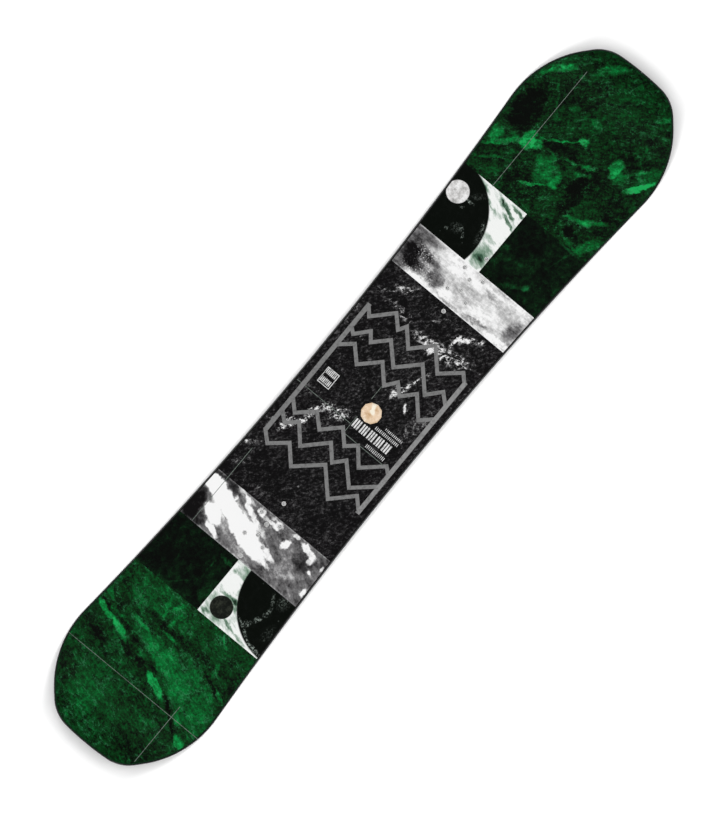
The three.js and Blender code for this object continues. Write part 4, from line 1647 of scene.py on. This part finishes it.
# A small generic label: two stacks of rules in a frame.
LABEL_RULES = rules(-13.0, -2.5, 76.0, 96.0, 3.2) + rules(4.5, 15.0, 76.0, 96.0, 3.2)
LABEL_FRAME = (((-16, 98), (-16, 72), (16, 72), (16, 98), (-16.6, 98)),)
# A generic tally beside the stud, five groups of three bold bars, and thin rules beside it.
TALLY = [bar for top in np.arange(5) * -17.6 - 5.0 for bar in rules(-41.0, -22.5, top, top - 15.0, -5.2)]
SMALL_RULES = (
    rules(-55.0, -47.5, -49.0, -92.0, -3.4)
    + rules(-18.0, -11.5, -42.0, -94.0, -3.4)
    + rules(-8.0, -3.0, -58.0, -97.0, -3.4)
)


@dataclass
class PrintedLines:
    """Ink lines on the topsheet: zigzags in a frame, hairlines, and a generic block of bars."""

    form: BoardForm
    zigzag_width: float = 7.2
    bar_width: float = 8.6
    hairline_width: float = 1.1
    ink_thickness: float = 0.03
    lifts: tuple[float, float, float] = (0.04, 0.05, 0.065)  # of the inks that cross each other
    longest_step: float = 9.0

    def path(self, corners: Points) -> tuple[np.ndarray, np.ndarray]:
        """Fills in a line between its corners.

        Args:
            corners: The line's corners.

        Returns:
            The points, and for each one how much wider the line is cut there, to keep its width
            through a corner.
        """
        corners = np.array(corners, float)
        points, widening = [corners[0]], [1.0]
        for i in range(1, len(corners)):
            span = corners[i] - corners[i - 1]
            steps = max(1, math.ceil(np.linalg.norm(span) / self.longest_step))
            for k in range(1, steps + 1):
                points.append(corners[i - 1] + span * k / steps)
                widening.append(1.0)
            if i < len(corners) - 1:
                onward = corners[i + 1] - corners[i]
                cosine = np.dot(span, onward) / np.linalg.norm(span) / np.linalg.norm(onward)
                widening[-1] = 1 / math.sqrt((1 + cosine) / 2)
        return np.array(points), np.array(widening)

    def tool(self, sizes: Mapping[str, float], ink: Material) -> Tree:
        """Builds the tree that lays a flat ribbon along every input line.

        Args:
            sizes: The tree's inputs.
            ink: The ribbon's material.

        Returns:
            The tree.
        """
        tree, given, result = new_node_tool("printed_line", sizes)
        curve = add(tree, "GeometryNodeMeshToCurve", {"Mesh": (given, "Geometry")})
        upright = add(tree, "GeometryNodeSetCurveNormal", {"Curve": curve}, mode="Z_UP")
        section_links = {"Width": (given, "Width"), "Height": (given, "Thickness")}
        section = add(tree, "GeometryNodeCurvePrimitiveQuadrilateral", section_links)
        widening = add(tree, "GeometryNodeInputNamedAttribute", {"Name": "widening"}, data_type="FLOAT")
        links = {"Curve": upright, "Profile Curve": section, "Scale": widening, "Fill Caps": True}
        finish_node_tool(tree, add(tree, "GeometryNodeCurveToMesh", links), ink, result)
        return tree

    def lines(self, name: str, routes: Sequence[Points], width: float, lift: float, ink: Material) -> None:
        """Makes one piece of several printed lines.

        Args:
            name: The piece's name.
            routes: The corners of each line.
            width: The lines' width.
            lift: How far the ink's middle is above the topsheet.
            ink: The material.
        """
        points, edges, widening = [], [], []
        for route in routes:
            flat, wider = self.path(route)
            start = len(points)
            height = self.form.height(flat[:, 0], TOPSHEET[1]) + lift
            points.extend(np.column_stack([flat, height]))
            widening.extend(wider)
            edges.extend((start + i, start + i + 1) for i in range(len(flat) - 1))
        mesh = bpy.data.meshes.new(name)
        mesh.from_pydata((np.array(points) * MM).tolist(), edges, [])
        mesh.attributes.new("widening", "FLOAT", "POINT").data.foreach_set("value", widening)
        piece = bpy.data.objects.new(name, mesh)
        bpy.context.scene.collection.objects.link(piece)
        sizes = {"Width": width * MM, "Thickness": self.ink_thickness * MM}
        run_node_tool(piece, self.tool(sizes, ink), sizes, SMOOTH_DEGREES)
        finish_piece(piece, [], "topsheet", [])

    def build(self) -> None:
        """Builds and dresses all printed lines."""
        grey = screen_ink("grey_screen_ink", "7a7a7a", "5f5f5f").build()
        light = screen_ink("light_grey_screen_ink", "8c8c8c", "707070").build()
        pale = screen_ink("pale_screen_ink", "6b766e", "3a453e").build()
        white = screen_ink("white_screen_ink", "e9e9e9", "9c9c9c").build()
        low, middle, high = self.lifts
        for name, routes, width, lift, colour in (
            ("ink_zigzags", ZIGZAGS, self.zigzag_width, middle, grey),
            ("ink_upper_bar", FRAME_BARS[:1], self.bar_width, high, grey),
            ("ink_lower_bar", FRAME_BARS[1:], self.bar_width, high, light),
            ("ink_hairlines", HAIRLINES, self.hairline_width, low, pale),
            ("ink_label_rules", LABEL_RULES, 1.9, low, white),
            ("ink_label_frame", LABEL_FRAME, 1.4, low, white),
            ("ink_tally", TALLY, 3.2, low, white),
            ("ink_small_rules", SMALL_RULES, 1.2, low, white),
        ):
            self.lines(name, routes, width, lift, colour)


@dataclass
class StompPad:
    """The stud between the bindings: a ten-sided cut dome on a disc of foam tape."""

    form: BoardForm
    x: float = 0.4
    y: float = -17.8
    sides: int = 10
    tape_radius: float = 18.6
    tape_thickness: float = 0.7
    gap: float = 0.1
    seat_x: float = 60.0  # where the frame's flat middle facet has the height that carries the stud
    tape_sides: int = 72
    profile: tuple[tuple[float, float], ...] = ((19.6, 0.0), (20.2, 0.8), (17.2, 2.0), (6.0, 4.4))
    edge_break: float = 0.25
    broken_from: float = 8.0  # degrees, the least turn of an edge that is broken
    facet_degrees: float = 6.0  # an edge between facets turns more than this

    def build(self) -> None:
        """Builds and dresses the pieces."""
        floor = self.form.height(self.seat_x, TOPSHEET[1]) + self.gap
        tape_profile = [(self.tape_radius, floor + height) for height in (0.0, self.tape_thickness)]
        tape = make_object("stud_tape", *turned(self.x, self.y, tape_profile, self.tape_sides))
        finish_piece(tape, [FoamTape("acrylic_foam_tape").build()], "adhesive_tape", ["stomp_pad_tape"])

        seat = floor + self.tape_thickness + self.gap
        profile = [(radius, seat + height) for radius, height in self.profile]
        stud = make_object("stud", *turned(self.x, self.y, profile, self.sides))
        bevel = stud.modifiers.new("broken_edges", "BEVEL")
        bevel.width = self.edge_break * MM
        bevel.segments = 2
        bevel.limit_method = "ANGLE"
        bevel.angle_limit = math.radians(self.broken_from)
        bake(stud, bevel, self.facet_degrees)
        cast = CutPolymer(
            name="cast_peach_polymer",
            # Pale spots are a painted highlight, dark spots painted shade.
            painted_highlight_and_shade=patches(
                (self.x + 2.5, self.y - 0.5, 5, 4, 70, 0.5, 0.4),
                (self.x + 10, self.y + 2, 8, 3.5, 20, 0.26, 0.5),
                (self.x + 8, self.y - 7, 8, 3, 40, -0.2, 0.5),
                (self.x - 6.5, self.y + 3, 8, 5, 60, -0.3, 0.6),
            ),
            middle=(self.x, self.y),
            facets=self.sides,
            table_radius=self.profile[-1][0],
        )
        finish_piece(stud, [cast.build()], "stomp_pad", ["stomp_pad"])


@dataclass
class WoodCore:
    """The core strips. They are the frame's own solids, sealed inside the board."""

    strips: int = 13

    def build(self) -> None:
        """Dresses the strips, poplar and beech in turn."""
        poplar = sawn_wood("planed_poplar", "e0c896", "c2a56f").build()
        beech = sawn_wood("planed_beech", "c09062", "96683e").build()
        for number in range(1, self.strips + 1):
            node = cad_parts[f"core_strip_{number:02d}"]
            node.data.materials.clear()
            node.data.materials.append(poplar if number % 2 else beech)
        log.info("core: %d strips dressed", self.strips)


# ---- Studio ---------------------------------------------------------------------------------


@dataclass
class Studio:
    """Pale floor, soft lights and the camera."""

    board_turn: float = 50.32  # degrees from the view's right to the board's length
    view_height: float = 1.5390  # metres that the view's height spans
    shift_right: float = -0.0014
    shift_up: float = -0.0150
    lens: float = 600.0
    floor_size: float = 30.0  # metres
    floor_gap: float = 0.2  # mm, how far the floor is below the board
    # Two banks along the board's sides, so that its raised ends mirror none of them.
    softbox_azimuths: tuple[float, ...] = (52.0, 90.0, 128.0, 232.0, 270.0, 308.0)  # degrees
    softbox_elevation: float = 59.0  # degrees
    softbox_size: float = 2.2
    softbox_power: float = 41.2
    softbox_distance: float = 4.2
    sky: float = 0.16

    def make_camera(self) -> None:
        """Sets the camera straight above the board."""
        data = bpy.data.cameras.new("camera")
        data.lens = self.lens
        data.clip_end = 200.0
        distance = self.view_height / 2 * data.lens / (data.sensor_width / 2)
        turn = math.radians(-self.board_turn)
        camera = bpy.data.objects.new("camera", data)
        right = Vector((math.cos(turn), math.sin(turn), 0.0))
        up = Vector((-math.sin(turn), math.cos(turn), 0.0))
        camera.location = self.shift_right * right + self.shift_up * up + Vector((0.0, 0.0, distance))
        camera.rotation_euler = (0.0, 0.0, turn)
        bpy.context.scene.collection.objects.link(camera)
        bpy.context.scene.camera = camera

    def make_lights(self) -> None:
        """Hangs the soft lights round the board and sets an even, dim sky."""
        for number, azimuth in enumerate(self.softbox_azimuths, 1):
            data = bpy.data.lights.new(f"softbox_{number}", "AREA")
            data.shape = "DISK"
            data.size = self.softbox_size
            data.energy = self.softbox_power
            lamp = bpy.data.objects.new(data.name, data)
            a, e = math.radians(azimuth), math.radians(self.softbox_elevation)
            back = Vector((math.cos(a) * math.cos(e), math.sin(a) * math.cos(e), math.sin(e)))
            lamp.location = back * self.softbox_distance
            lamp.rotation_euler = back.to_track_quat("Z", "Y").to_euler()
            lamp.visible_camera = False
            bpy.context.scene.collection.objects.link(lamp)
        world = bpy.data.worlds.new("studio_sky")
        world.use_nodes = True
        world.node_tree.nodes.clear()
        links = {"Color": linear("ffffff"), "Strength": self.sky}
        light = add(world.node_tree, "ShaderNodeBackground", links)
        add(world.node_tree, "ShaderNodeOutputWorld", {"Surface": light})
        bpy.context.scene.world = world

    def make_floor(self) -> None:
        """Lays the floor."""
        half, low = self.floor_size / 2 / MM, -self.floor_gap
        corners = np.array([[-half, -half, low], [half, -half, low], [half, half, low], [-half, half, low]])
        floor = make_object("studio_floor", corners, [(0, 1, 2, 3)])
        if floor.data.polygons[0].normal.z < 0:
            floor.data.flip_normals()
        floor.data.materials.append(StudioFloor("matt_studio_paint").build())

    def build(self) -> None:
        """Builds the studio."""
        self.make_camera()
        self.make_lights()
        self.make_floor()
        bpy.context.scene.view_settings.view_transform = "Standard"


def main() -> None:
    """Builds the board layer by layer, from the snow upwards, and then the studio."""
    logging.basicConfig(level=logging.INFO, format="%(name)s: %(message)s")
    form = BoardForm()
    inserts = InsertPattern(form)
    Studio().build()
    RunningBase(form).build()
    Shell(form).build()
    WoodCore().build()
    inserts.build()
    Topsheet(form, inserts).build()
    PrintedLines(form).build()
    StompPad(form).build()


if __name__ == "__main__":
    main()
